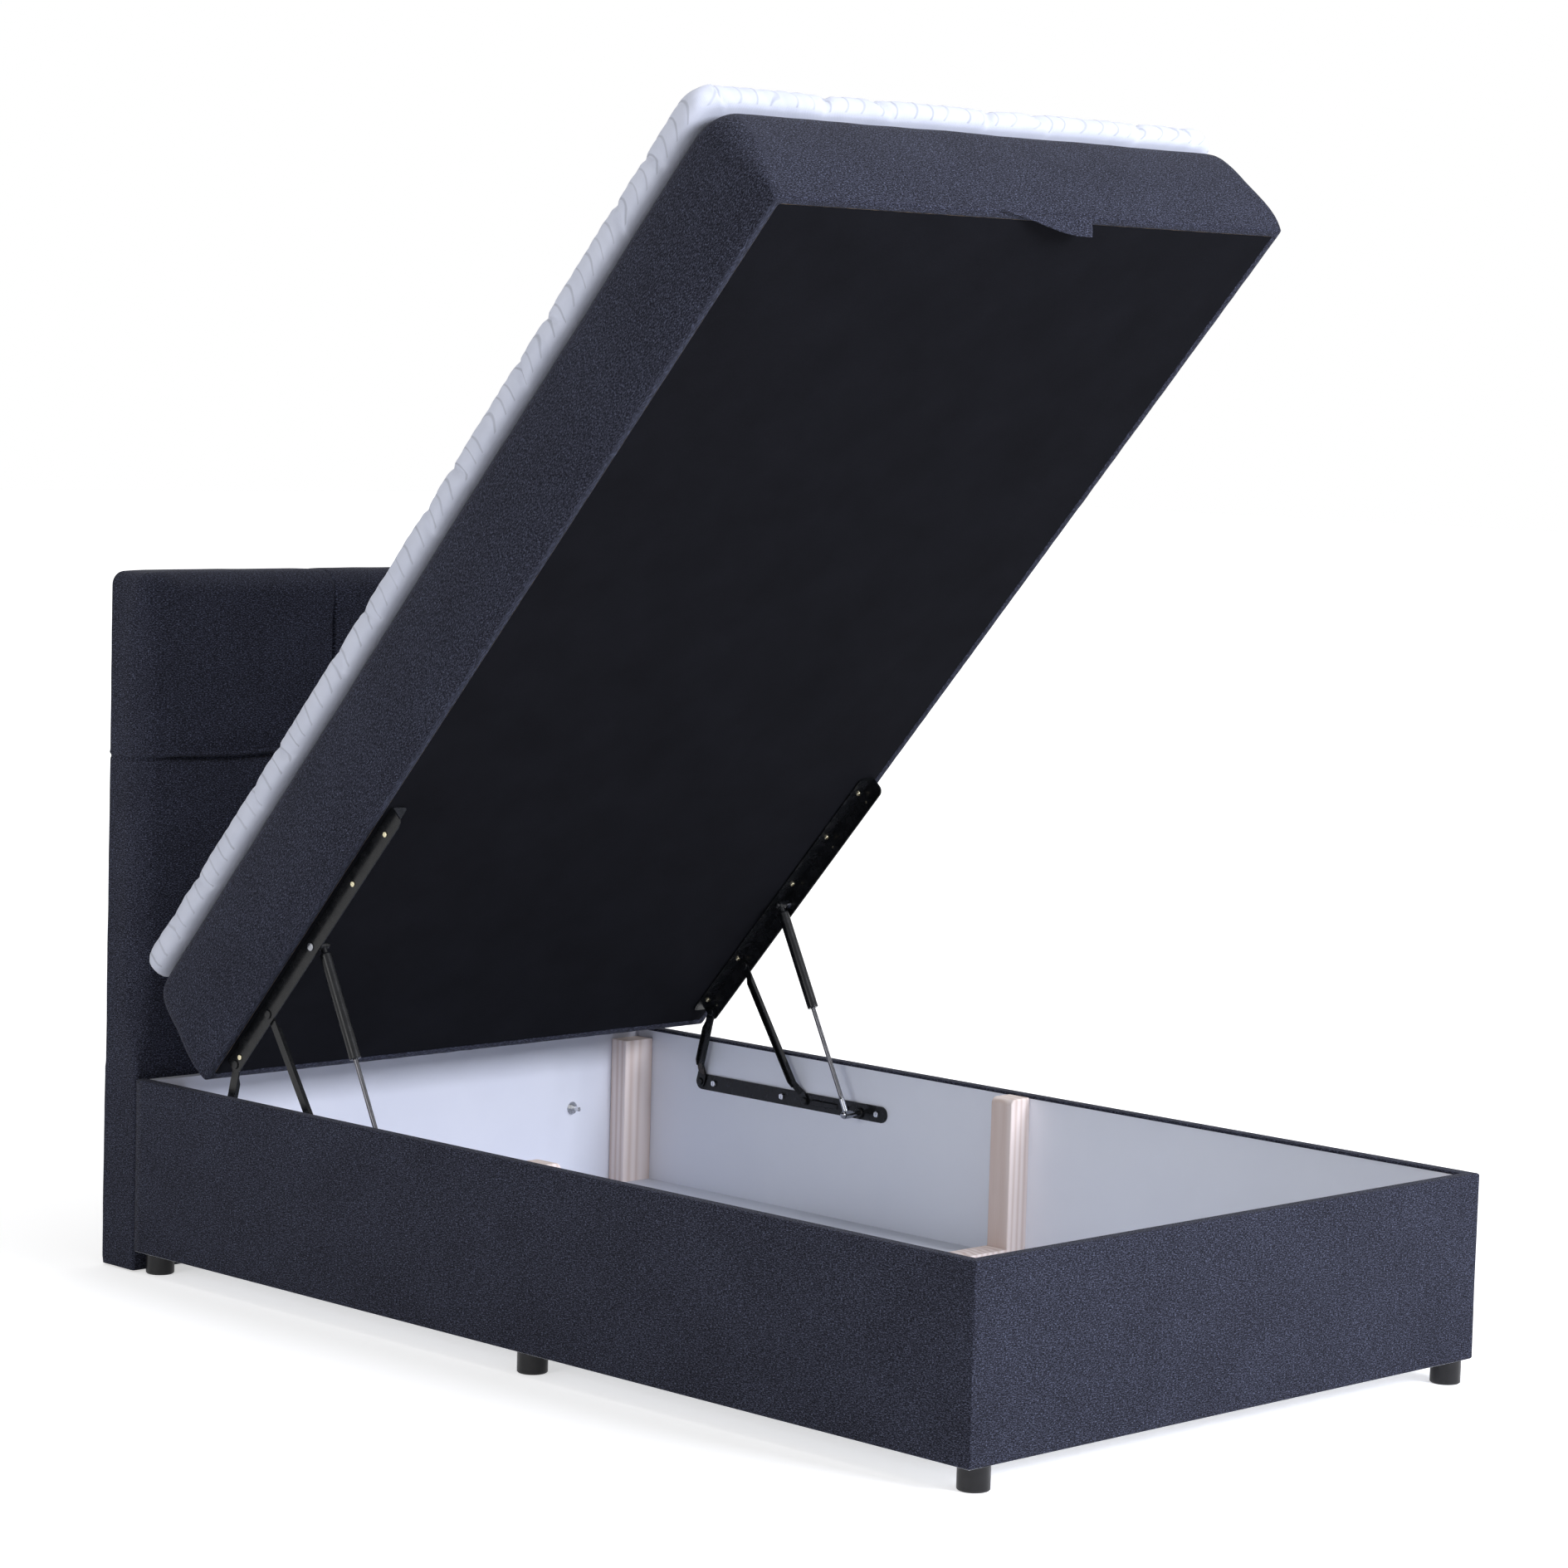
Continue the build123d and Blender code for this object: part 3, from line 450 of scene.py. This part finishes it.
def finish_cad_nodes():
    """Gives every carried-over CAD node its procedural material."""
    for part in frame["record"]["subparts"]:
        material = FINISH.get(FINISH_OF_NODE.get(part["node"], part["material_slot"]))
        if material is None:
            continue
        for slot in frame["nodes"][part["node"]].material_slots:
            slot.material = material


# Lid
def lid_side_offset(h):
    """How far the side stands out at height h: a soft belly, then a rounded upper edge."""
    belly = LID_BULGE * max(0.0, 1 - ((h - LID_BULGE_HEIGHT) / LID_BULGE_HEIGHT) ** 2)
    start = LID_HEIGHT - LID_TOP_ROUND
    if h <= start:
        return belly
    drop = min(1.0, (h - start) / LID_TOP_ROUND)
    return belly - LID_TOP_ROUND * (1 - math.sqrt(max(0.0, 1 - drop * drop)))


def lid_ring(h, inset=0.0):
    """The lid's outline at height h. Its head end stands out half as far as its other sides."""
    out = lid_side_offset(h) - inset
    head = out * 0.5 if out > 0 else out
    widening = (LID_CORNER_HIGH - LID_CORNER_LOW) * float(smooth_step(h / 120))
    radius = LID_CORNER_LOW + widening + max(0.0, -out) * 0.2
    return rounded_loop(-LID_HALF - out, LID_HALF + out, -out, LID_LENGTH + head, radius)


def lid_rows():
    """Rings of the lid's cover as (height, inset, points): hem, sides, then the top."""
    hem = ((46, 3.0), (HEM_WIDTH + 4, 2.6), (HEM_WIDTH + 0.6, 1.8), (HEM_WIDTH, 0.7),
           (HEM_WIDTH - 1.5, 0.0), (HEM_WIDTH / 2, -0.4), (2.2, 0.0), (0.7, 0.6))
    heights = (2, 5, 10, 18, 30, 45, 60, 76, 92, 108, 124, 140, 154, 166, 176, 184, 190, 195,
               199, 202, 204, LID_HEIGHT)
    insets = (8, 30, 80, 180, 320, 480, 560)
    rows = [(h, inset, lid_ring(0, inset)) for inset, h in hem]
    rows += [(h, 0, lid_ring(h)) for h in heights]
    return rows + [(LID_HEIGHT, inset, lid_ring(LID_HEIGHT, inset)) for inset in insets]


def lid_upholstery(place):
    """Cloth cover of the lid: hem on the underside, sides, and a flat top inside the rounded upper
    edge.
    """
    rows = lid_rows()
    columns = len(rows[0][2])
    tuck_places = loop_lengths(lid_ring(30))
    points, uvs = [], []
    run = 0.0
    for j, (h, inset, ring) in enumerate(rows):
        if j:
            step = math.hypot(h - rows[j - 1][0], ring[0][1] - rows[j - 1][2][0][1])
            run += step
        around = loop_lengths(ring)
        for i, (x, u, ox, ou) in enumerate(ring):
            side = 1.0 if inset < 1 else 0.0
            hem = 1.0 if 1 < inset < HEM_WIDTH + 1 and h < 5 else 0.0
            s = tuck_places[i]
            soft = 1.6 * wave(x, u, h, scale=170, seed=3) + 0.8 * wave(x, u, h, scale=60, seed=8)
            pull = math.exp(-((h - 4) / 16) ** 2)
            tuck = 1.1 * pull * wave(s, 0, 0, scale=26, seed=5)
            push = side * (soft * min(1.0, h / 40) + tuck)
            lift = hem * 0.35 * wave(s, inset, 0, scale=18, seed=11)
            points.append((x + ox * push, u + ou * push, h + lift))
            uvs.append((around[i] * MM, run * MM))
    faces = strip_faces(columns, len(rows), closed=True)
    last = (len(rows) - 1) * columns
    faces.append(tuple(last + i for i in range(columns)))
    piece = add_piece("lid_upholstery", points, faces, uvs, CLOTH, "lid", place)
    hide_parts("lid_cover")


def lid_lining(place):
    """Black cloth stapled under the lid, tight at its edges and a little slack between."""
    half, start = LID_HALF - HEM_WIDTH - LINING_GAP, HEM_WIDTH + LINING_GAP
    width, length = 2 * half, LID_LENGTH - 2 * start
    columns, rows = 78, 128
    points, uvs = [], []
    for j in range(rows):
        for i in range(columns):
            x = -half + width * i / (columns - 1)
            u = start + length * j / (rows - 1)
            edge = min(half - abs(x), u - start, start + length - u)
            slack = float(smooth_step((edge - 60) / 200))
            ripple = 0.9 * wave(x, u, 0, scale=210, seed=2) + 0.35 * wave(x, u, 0, scale=70, seed=6)
            pucker = 0.25 * math.exp(-edge / 20) * wave(x, u, 0, scale=22, seed=9)
            points.append((x, u, 0.55 - slack * (0.8 + ripple) + pucker))
            uvs.append((x * MM, u * MM))
    piece = add_piece("lid_lining", points, strip_faces(columns, rows, flip=True), uvs, LINING,
                      "lid", place)
    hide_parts("lid_dust_cover")


def quilt_dent(a, b, width=5.0):
    """Depth of the stitched valleys of a diamond quilt at unrolled position (a, b)."""
    depth = 0.0
    for t in ((a + 0.42 * b) / QUILT_PITCH, (a - 0.42 * b) / QUILT_PITCH + 0.39):
        gap = abs(t - round(t)) * QUILT_PITCH
        depth = max(depth, math.exp(-(gap / width) ** 2) + 0.35 * math.exp(-(gap / 24.0) ** 2))
    return depth


def edge_ripple(s, rise):
    """Small slack folds that cross the topper's edge, rounder outside than in the valleys."""
    bow = 9 * ((rise - 24) / 24) ** 2
    drift = s + 11 * wave(s, 0, 0, scale=120, seed=15) + bow + 0.2 * rise
    swell = abs(math.sin(math.pi * drift / RIPPLE_PITCH)) ** 0.55 - 0.75
    return swell * (0.8 + 0.6 * wave(s, 0, 0, scale=85, seed=16))


def topper_profile():
    """(inset, rise) of each ring: underside, rounded edge, then evenly over the top."""
    t = TOPPER_THICKNESS
    edge = [(TOPPER_UNDER, 0), (60, 0), (30, 0.3), (16, 1.2), (8, 4), (3, 9), (0.6, 16), (0, 23),
            (0.6, 30), (3, 37), (8, 42.5), (15, 45.6), (24, 47.2), (38, t), (60, t)]
    return edge + [(60 + 11 * k, t) for k in range(1, 49)]


def topper_relief(x, u, s, inset, rise, edge_run):
    """How far the cloth moves out and up: stitched valleys, ripples and slack folds."""
    if inset < 45:
        belly = max(0.0, 1 - ((rise - 23) / 25.5) ** 4) if inset < 40 else 0.0
        dent = quilt_dent(s, edge_run)
        fold = 0.6 * wave(s, rise, 0, scale=46, seed=4)
        fold += 0.4 * wave(s, 2 * rise, 0, scale=19, seed=7)
        push = belly * (-6.0 * dent + 1.6 * fold + 3.0 * edge_ripple(s, rise) + 1.2)
        return push, -(0.8 * dent - 0.7 * fold) * (rise / TOPPER_THICKNESS) * 1.6
    if rise > 10:
        dent = quilt_dent(x, 2.38 * u, 13.0)
        return 0.0, -3.6 * dent + 1.2 * wave(x, u, 0, scale=90, seed=4)
    return 0.0, 0.0


def topper_quilt(place):
    """Quilted topper: plump edge, stitched valleys that run over the edge, slack folds."""
    profile = topper_profile()
    points, uvs = [], []
    lengths, run = None, 0.0
    for j, (inset, rise) in enumerate(profile):
        radius = max(14, 44 - 0.1 * inset)
        ring = rounded_loop(TOPPER_LEFT + inset, TOPPER_RIGHT - inset, TOPPER_START + inset,
                            TOPPER_START + TOPPER_LENGTH - inset, radius, (200, 340, 12))
        lengths = lengths or loop_lengths(ring)
        if j:
            before = profile[j - 1]
            run += math.hypot(inset - before[0], rise - before[1])
        for i, (x, u, ox, ou) in enumerate(ring):
            s = lengths[i]
            push, lift = topper_relief(x, u, s, inset, rise, run - TOPPER_UNDER)
            points.append((x + ox * push, u + ou * push, LID_HEIGHT + 0.6 + rise + lift))
            uvs.append((s * MM, run * MM))
    columns = len(lengths)
    faces = strip_faces(columns, len(profile), closed=True)
    last = (len(profile) - 1) * columns
    faces.append(tuple(last + i for i in range(columns)))
    faces.append(tuple(reversed(range(columns))))
    piece = add_piece("topper_quilt", points, faces, uvs, QUILT, "lid", place)
    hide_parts("topper")


def pull_band(place):
    """Folded cloth band that hangs under the foot edge, with a cut end on its right."""
    left, right, lean = -100.0, 110.0, math.radians(33)
    columns, rows = 60, 9
    thick, full_drop = 3.0, 31
    points, uvs = [], []
    for face in (0, 1):
        for j in range(rows):
            v = j / (rows - 1)
            for i in range(columns):
                t = i / (columns - 1)
                drop = full_drop * float(smooth_step(t * 1.12)) + 1.0
                x = left + (right - left) * t - 6 * v * t
                z = -1.9 - v * drop
                belly = 2.0 * math.sin(math.pi * v) * wave(x, 0, 0, scale=55, seed=12)
                rim = 0.35 + 0.65 * math.sin(math.pi * min(1, max(0, v * 0.92 + 0.04)))
                y = belly + (thick * rim / 2) * (1 if face else -1) + thick / 2
                points.append((x, y * math.cos(lean) - z * math.sin(lean) - 3,
                               z * math.cos(lean) + y * math.sin(lean)))
                uvs.append((x * MM, z * MM))
    size = columns * rows
    faces = strip_faces(columns, rows)
    faces += [tuple(size + k for k in reversed(f)) for f in strip_faces(columns, rows)]
    for i in range(columns - 1):
        faces.append((i + 1, i, size + i, size + i + 1))
        k = (rows - 1) * columns
        faces.append((k + i, k + i + 1, size + k + i + 1, size + k + i))
    for j in range(rows - 1):
        a, b = j * columns, (j + 1) * columns
        faces.append((a, b, size + b, size + a))
        a, b = a + columns - 1, b + columns - 1
        faces.append((b, a, size + a, size + b))
    piece = add_piece("pull_band", points, faces, uvs, CLOTH, "lid", place)
    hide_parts("pull_tab")


# Box
def box_profile():
    """(half width, height) of the cloth's section: inner fold, top edge, side, turn-under."""
    radius = BOX_EDGE_ROUND
    profile = [(BOARD_INNER - 0.3, BOX_TOP - 5.5), (BOARD_INNER - 1.3, BOX_TOP - 5.2),
               (BOARD_INNER - 1.5, BOX_TOP - 3.0), (BOARD_INNER - 1.0, BOX_TOP - 1.0),
               (BOARD_INNER + 1.6, BOX_TOP - 0.2)]
    profile += [(BOARD_INNER + 5 + 3 * k, BOX_TOP) for k in range(5)]
    for k in range(1, 6):
        a = math.radians(18 * k)
        profile.append((BOX_HALF - radius + radius * math.sin(a),
                        BOX_TOP - radius + radius * math.cos(a)))
    profile += [(BOX_HALF, BOX_TOP - 6 - 16 * k) for k in range(19)]
    for k in range(6):
        a = math.radians(18 * k)
        profile.append((BOX_HALF - radius + radius * math.cos(a),
                        BOX_BOTTOM + radius - radius * math.sin(a)))
    return profile + [(BOX_HALF - 10, BOX_BOTTOM), (BOX_HALF - 17, BOX_BOTTOM + 0.3)]


def box_path(half):
    """Left side, foot and right side at one half width, with outward directions."""
    along, across, turn = 120, 74, 7
    inset = BOX_HALF - half
    corner = max(0.4, 4.0 - inset * 0.2)
    y_foot = BOX_FOOT + inset
    end = (max(half - 6, BOARD_INNER - 1.5), BOX_HEAD + 0.25)
    path = [(-end[0], end[1], -1, 0)]
    for i in range(along):
        path.append((-half, BOX_HEAD + (y_foot + corner - BOX_HEAD) * i / along, -1, 0))
    for i in range(turn + 1):
        a = math.radians(180 + 90 * i / turn)
        path.append((-half + corner + corner * math.cos(a),
                     y_foot + corner + corner * math.sin(a), math.cos(a), math.sin(a)))
    for i in range(1, across):
        path.append((-half + corner + 2 * (half - corner) * i / across, y_foot, 0, -1))
    for i in range(turn + 1):
        a = math.radians(270 + 90 * i / turn)
        path.append((half - corner + corner * math.cos(a),
                     y_foot + corner + corner * math.sin(a), math.cos(a), math.sin(a)))
    for i in range(1, along + 1):
        path.append((half, y_foot + corner + (BOX_HEAD - y_foot - corner) * i / along, 1, 0))
    path.append((end[0], end[1], 1, 0))
    return path


def box_upholstery():
    """Cloth pulled over the three boards: folded over the top edge and under the bottom."""
    profile = box_profile()
    points, uvs = [], []
    run = 0.0
    for j, (half, z) in enumerate(profile):
        if j:
            run += math.hypot(half - profile[j - 1][0], z - profile[j - 1][1])
        path = box_path(half)
        lengths = loop_lengths(path)
        for i, (x, y, ox, oy) in enumerate(path):
            face = 1.0 if BOX_HALF - half < 0.01 else 0.0
            middle = max(0.0, 1 - ((z - 190) / 150) ** 2)
            soft = -0.5 + 0.5 * wave(x, y, z, scale=260, seed=1)
            soft += 0.25 * wave(x, y, z, scale=80, seed=5)
            near_hem = math.exp(-((z - BOX_BOTTOM - 6) / 14) ** 2)
            low = 0.5 * near_hem * wave(lengths[i], 0, 0, scale=30, seed=6)
            push = face * (soft * middle + low) - 0.2
            points.append((x + ox * push, y + oy * push, z))
            uvs.append((lengths[i] * MM, -run * MM))
    faces = strip_faces(len(path), len(profile))
    piece = add_piece("box_upholstery", points, faces, uvs, CLOTH, "base")
    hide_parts("side_cover_left", "side_cover_right", "foot_cover")


# Headboard
SEAM_GRID = (0, 1.2, 2.4, 3.6, 5, 7, 9, 12, 15, 19, 23, 28, 33, 38, 43)


def lines_between(low, high, step, marks):
    """Grid lines from low to high, closer together near the marked places."""
    places = set(np.arange(low, high, step)) | {low, high}
    for mark in marks:
        for gap in SEAM_GRID:
            for place in (mark - gap, mark + gap):
                if low < place < high:
                    places.add(place)
    ordered, result = sorted(float(p) for p in places), []
    keep = {float(m) for m in marks} | {float(low), float(high)}
    for place in ordered:
        if result and place - result[-1] < 1.0:
            if place in keep:
                result[-1] = place
            continue
        result.append(place)
    return result


def seam_level(x):
    """Height of the level seam, which wanders a little."""
    return SEAM_Z - 6 * math.exp(-((x + 400) / 130) ** 2) + 1.5 * wave(x, 0, 0, scale=150, seed=2)


def clear_of_board(place):
    """Keeps the cloth a little outside the wooden board and frame that it covers."""
    half, front = BOARD_HALF + BOARD_CLEARANCE, BOARD_FRONT - BOARD_CLEARANCE
    top = BOARD_TOP + BOARD_CLEARANCE
    gaps = (half - abs(place.x), place.y - front, top - place.z)
    if min(gaps) <= 0 or place.y > HEADBOARD_BACK - 9:
        return place
    if min(gaps) == gaps[0]:
        place.x = math.copysign(half, place.x)
    elif min(gaps) == gaps[1]:
        place.y = front
    else:
        place.z = top
    return place


def rounded_block(x, y, z, at_side, at_top):
    """Moves a point of the sharp block onto its rounded form. Also tells the way out."""
    front, back, rear_round, low_round = HEADBOARD_FRONT, float(HEADBOARD_BACK), 9.0, 7.0
    round_off = float(smooth_step((z - 330) / 160))
    radius = low_round + 35.0 * round_off - 19.0 * at_side * at_top
    depth = float(smooth_step((y - front - 30) / 40))
    side_radius = radius + (22.0 - radius) * depth if z > PADDING_FROM else low_round
    inner = (max(-BOX_HALF + side_radius, min(BOX_HALF - side_radius, x)),
             max(front + radius, min(back - rear_round, y)),
             max(3.5, min(HEADBOARD_TOP - side_radius, z)))
    away = Vector((x - inner[0], y - inner[1], z - inner[2]))
    limits = Vector((side_radius, radius if away.y < 0 else rear_round,
                     side_radius if away.z > 0 else 0.5))
    scaled = Vector((away.x / limits.x, away.y / limits.y, away.z / limits.z))
    if scaled.length <= 1e-6:
        return Vector((x, y, z)), Vector((0, -1, 0))
    longest = max(abs(scaled.x), abs(scaled.y), abs(scaled.z))
    unit = scaled * (longest / scaled.length)
    moved = Vector((unit.x * limits.x, unit.y * limits.y, unit.z * limits.z))
    return Vector(inner) + moved, scaled.normalized()


def headboard_crown(x, z):
    """How far the middle of each cushion stands out in front."""
    if z > SEAM_Z:
        middle = 0.0 if abs(x) < SEAM_X else math.copysign((SEAM_X + BOX_HALF) / 2, x)
        half = SEAM_X if abs(x) < SEAM_X else (BOX_HALF - SEAM_X) / 2
        across = max(0.0, 1 - abs((x - middle) / half) ** 3)
        return 4.5 * across * max(0.0, 1 - abs((z - 1062) / 160) ** 3)
    across = max(0.0, 1 - abs(x / BOX_HALF) ** 4)
    crown = 2.5 * across * max(0.0, 1 - abs((z - 480) / 430) ** 4)
    return crown * float(smooth_step((z - 380) / 120))


def headboard_relief(x, y, z, out, at_side, at_top):
    """How far the cloth stands out: crowns, seams with a lip, puckers and softness."""
    backness = float(smooth_step((y - HEADBOARD_FRONT - 20) / 40))
    in_front = out.y < -0.5
    level = abs(z - SEAM_Z)
    upright = min(abs(x - SEAM_X), abs(x + SEAM_X)) if z > SEAM_Z else 999.0
    push = headboard_crown(x, z) if in_front else 0.0
    groove = -9.0 * math.exp(-(upright / 3.4) ** 2) - 2.0 * math.exp(-(upright / 22.0) ** 2)
    push += groove * (1 - 0.7 * at_top)
    if z >= PADDING_FROM or not in_front:
        dip = -13.0 * math.exp(-(level / 3.4) ** 2) - 2.6 * math.exp(-(level / 24.0) ** 2)
        push += dip * (1 - 0.6 * backness) * (1 - 0.62 * at_side)
        push += 3.2 * math.exp(-((z - SEAM_Z - 6.0) / 3.4) ** 2) * (1 - 0.6 * backness)
        push += 1.3 * math.exp(-level / 22.0) * wave(x, y, 0, scale=24, seed=3)
        push += 1.0 * math.exp(-upright / 18.0) * wave(z, y, 0, scale=22, seed=4)
        push += 0.9 * wave(x, y, z, scale=150, seed=7) + 0.5 * wave(x, y, z, scale=55, seed=9)
    return max(push, -14.0)


def headboard_point(x, y, z):
    """Rounds the block's edges and gives the padding its relief."""
    at_side = float(smooth_step((abs(x) - 500) / 60))
    at_top = float(smooth_step((z - 1130) / 60))
    place, out = rounded_block(x, y, z, at_side, at_top)
    place += out * headboard_relief(x, y, z, out, at_side, at_top)
    place.z += (seam_level(x) - SEAM_Z) * math.exp(-((z - SEAM_Z) / 45.0) ** 2)
    droop = max(0.0, (abs(place.x) - 530) / 70) ** 2
    place.z -= 3.0 * droop * float(smooth_step((z - 1120) / 100))
    place.y = max(place.y, BOX_HEAD + 0.3)
    return clear_of_board(place)


def headboard_faces():
    """Every face of the headboard's block as grids of (x, y, z) with cloth coordinates."""
    xs = lines_between(-BOX_HALF, BOX_HALF, 13, (-SEAM_X, SEAM_X, -BOX_HALF, BOX_HALF))
    zs = lines_between(3, HEADBOARD_TOP, 13, (SEAM_Z, HEADBOARD_TOP))
    ys = lines_between(HEADBOARD_FRONT, HEADBOARD_BACK, 6, (HEADBOARD_FRONT, HEADBOARD_BACK))
    front, back, top = ys[0], ys[-1], zs[-1]
    yield [[(x, front, z, x, z) for x in xs] for z in zs]
    yield [[(-BOX_HALF, y, z, -BOX_HALF - (y - front), z) for y in reversed(ys)] for z in zs]
    yield [[(BOX_HALF, y, z, BOX_HALF + (y - front), z) for y in ys] for z in zs]
    yield [[(x, y, top, x, top + (y - front)) for x in xs] for y in ys]
    yield [[(x, back, z, -x, z) for x in reversed(xs)] for z in zs]


def headboard_upholstery():
    """Padded cover of the headboard, parted along its seams into four pieces."""
    regions = {"lower": [[], [], []], "left": [[], [], []], "centre": [[], [], []],
               "right": [[], [], []]}
    known = {name: {} for name in regions}
    for grid in headboard_faces():
        for a, b in zip(grid, grid[1:]):
            for i in range(len(a) - 1):
                corners = (a[i], a[i + 1], b[i + 1], b[i])
                x = sum(c[0] for c in corners) / 4
                z = sum(c[2] for c in corners) / 4
                if z < SEAM_Z:
                    name = "lower"
                else:
                    name = "left" if x < -SEAM_X else "right" if x > SEAM_X else "centre"
                points, faces, uvs = regions[name]
                face = []
                for c in corners:
                    key = tuple(round(v, 2) for v in c[:3])
                    if key not in known[name]:
                        known[name][key] = len(points)
                        points.append(tuple(headboard_point(*c[:3])))
                        uvs.append((c[3] * MM, c[4] * MM))
                    face.append(known[name][key])
                if len(set(face)) == 4:
                    faces.append(tuple(face))
    for name, (points, faces, uvs) in regions.items():
        piece = add_piece(f"headboard_cushion_{name}", points, faces, uvs, CLOTH, "base")
        if name == "lower":
            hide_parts("headboard_pad_lower", "headboard_border")
        else:
            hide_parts(f"headboard_pad_{name}")


def headboard_back():
    """Black cloth stapled behind the headboard."""
    half, low, high = 588, 12, HEADBOARD_TOP - 14
    columns, rows = 50, 50
    points, uvs = [], []
    for j in range(rows):
        for i in range(columns):
            x = half - 2 * half * i / (columns - 1)
            z = low + (high - low) * j / (rows - 1)
            edge = min(half - abs(x), z - low, high - z)
            pucker = 0.3 * math.exp(-edge / 18) * wave(x, z, 0, scale=20, seed=3)
            points.append((x, HEADBOARD_BACK + LINING_THICKNESS + pucker, z))
            uvs.append((x * MM, z * MM))
    piece = add_piece("headboard_back_lining", points, strip_faces(columns, rows), uvs, LINING,
                      "base")
    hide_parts("headboard_back_cloth")


# Studio
AMBIENT = 0.30
FLOOR_GLOW = 0.55


def seen_directly(tree):
    """1 for what the camera, a mirror or glass shows, 0 for light on the object."""
    path = node(tree, "ShaderNodeLightPath").outputs
    seen = math_node(tree, "MAXIMUM", path["Is Camera Ray"], path["Is Glossy Ray"])
    return math_node(tree, "MAXIMUM", seen, path["Is Transmission Ray"])


def add_floor():
    mesh = bpy.data.meshes.new("studio_floor")
    half = 40
    mesh.from_pydata([(-half, -half, 0), (half, -half, 0), (half, half, 0), (-half, half, 0)],
                     [], [(0, 1, 2, 3)])
    floor = bpy.data.objects.new("studio_floor", mesh)
    bpy.context.scene.collection.objects.link(floor)
    material, tree, shader = new_material("studio_floor", (0.90, 0.90, 0.91), 0.95, specular=0.1)
    place = node(tree, "ShaderNodeNewGeometry").outputs["Position"]
    far = node(tree, "ShaderNodeVectorMath", {0: place}, operation="LENGTH").outputs["Value"]
    glow = node(tree, "ShaderNodeMapRange", {
        "Value": far, "From Min": 2.5, "From Max": 7.0, "To Min": FLOOR_GLOW, "To Max": 1.0})
    strength = math_node(tree, "MULTIPLY", seen_directly(tree), glow.outputs["Result"])
    shader.inputs["Emission Color"].default_value = (1, 1, 1, 1)
    tree.links.new(strength, shader.inputs["Emission Strength"])
    floor.data.materials.append(material)


def add_world():
    world = bpy.data.worlds.new("studio")
    world.use_nodes = True
    bpy.context.scene.world = world
    tree = world.node_tree
    background = tree.nodes["Background"]
    extra = math_node(tree, "MULTIPLY", seen_directly(tree), 1 - AMBIENT)
    strength = math_node(tree, "ADD", extra, AMBIENT)
    background.inputs["Color"].default_value = (1, 1, 1, 1)
    tree.links.new(strength, background.inputs["Strength"])


def add_area(name, place, target, size, power, color=(1, 1, 1)):
    data = bpy.data.lights.new(name, "AREA")
    data.shape = "RECTANGLE"
    data.size, data.size_y = size
    data.energy = power
    data.color = color
    lamp = bpy.data.objects.new(name, data)
    bpy.context.scene.collection.objects.link(lamp)
    lamp.location = place
    direction = Vector(target) - Vector(place)
    lamp.rotation_euler = direction.to_track_quat("-Z", "Y").to_euler()


def add_camera():
    a, p, r = (math.radians(v) for v in (CAMERA_HEADING, CAMERA_PITCH, CAMERA_ROLL))
    forward = Vector((-math.sin(a) * math.cos(p), math.cos(a) * math.cos(p), -math.sin(p)))
    level = Vector((math.cos(a), math.sin(a), 0))
    upward = level.cross(forward)
    right = level * math.cos(r) + upward * math.sin(r)
    up = upward * math.cos(r) - level * math.sin(r)
    data = bpy.data.cameras.new("photo_camera")
    data.sensor_fit = "HORIZONTAL"
    data.sensor_width = 36
    data.lens = CAMERA_FOCUS_PX / PHOTO_SIZE * 36
    data.clip_end = 100
    camera = bpy.data.objects.new("photo_camera", data)
    bpy.context.scene.collection.objects.link(camera)
    rotation = Matrix((right, up, -forward)).transposed().to_4x4()
    camera.matrix_world = Matrix.Translation([c * MM for c in CAMERA_PLACE]) @ rotation
    bpy.context.scene.camera = camera


bpy.context.scene.view_settings.view_transform = "Standard"
finish_cad_nodes()
lid_place = lid_matrix()
lid_upholstery(lid_place)
lid_lining(lid_place)
topper_quilt(lid_place)
pull_band(lid_place)
box_upholstery()
headboard_upholstery()
headboard_back()
add_floor()
add_world()
add_area("key", (1.5, -6.6, 3.6), (0, -0.2, 0.7), (3.0, 2.2), 520, (0.96, 0.985, 1.07))
add_area("top", (0.5, 0.5, 5.5), (0, 0, 0), (5, 5), 90)
add_area("left_fill", (-7, -0.5, 2.2), (0, 0, 0.6), (3, 3), 110)
add_camera()
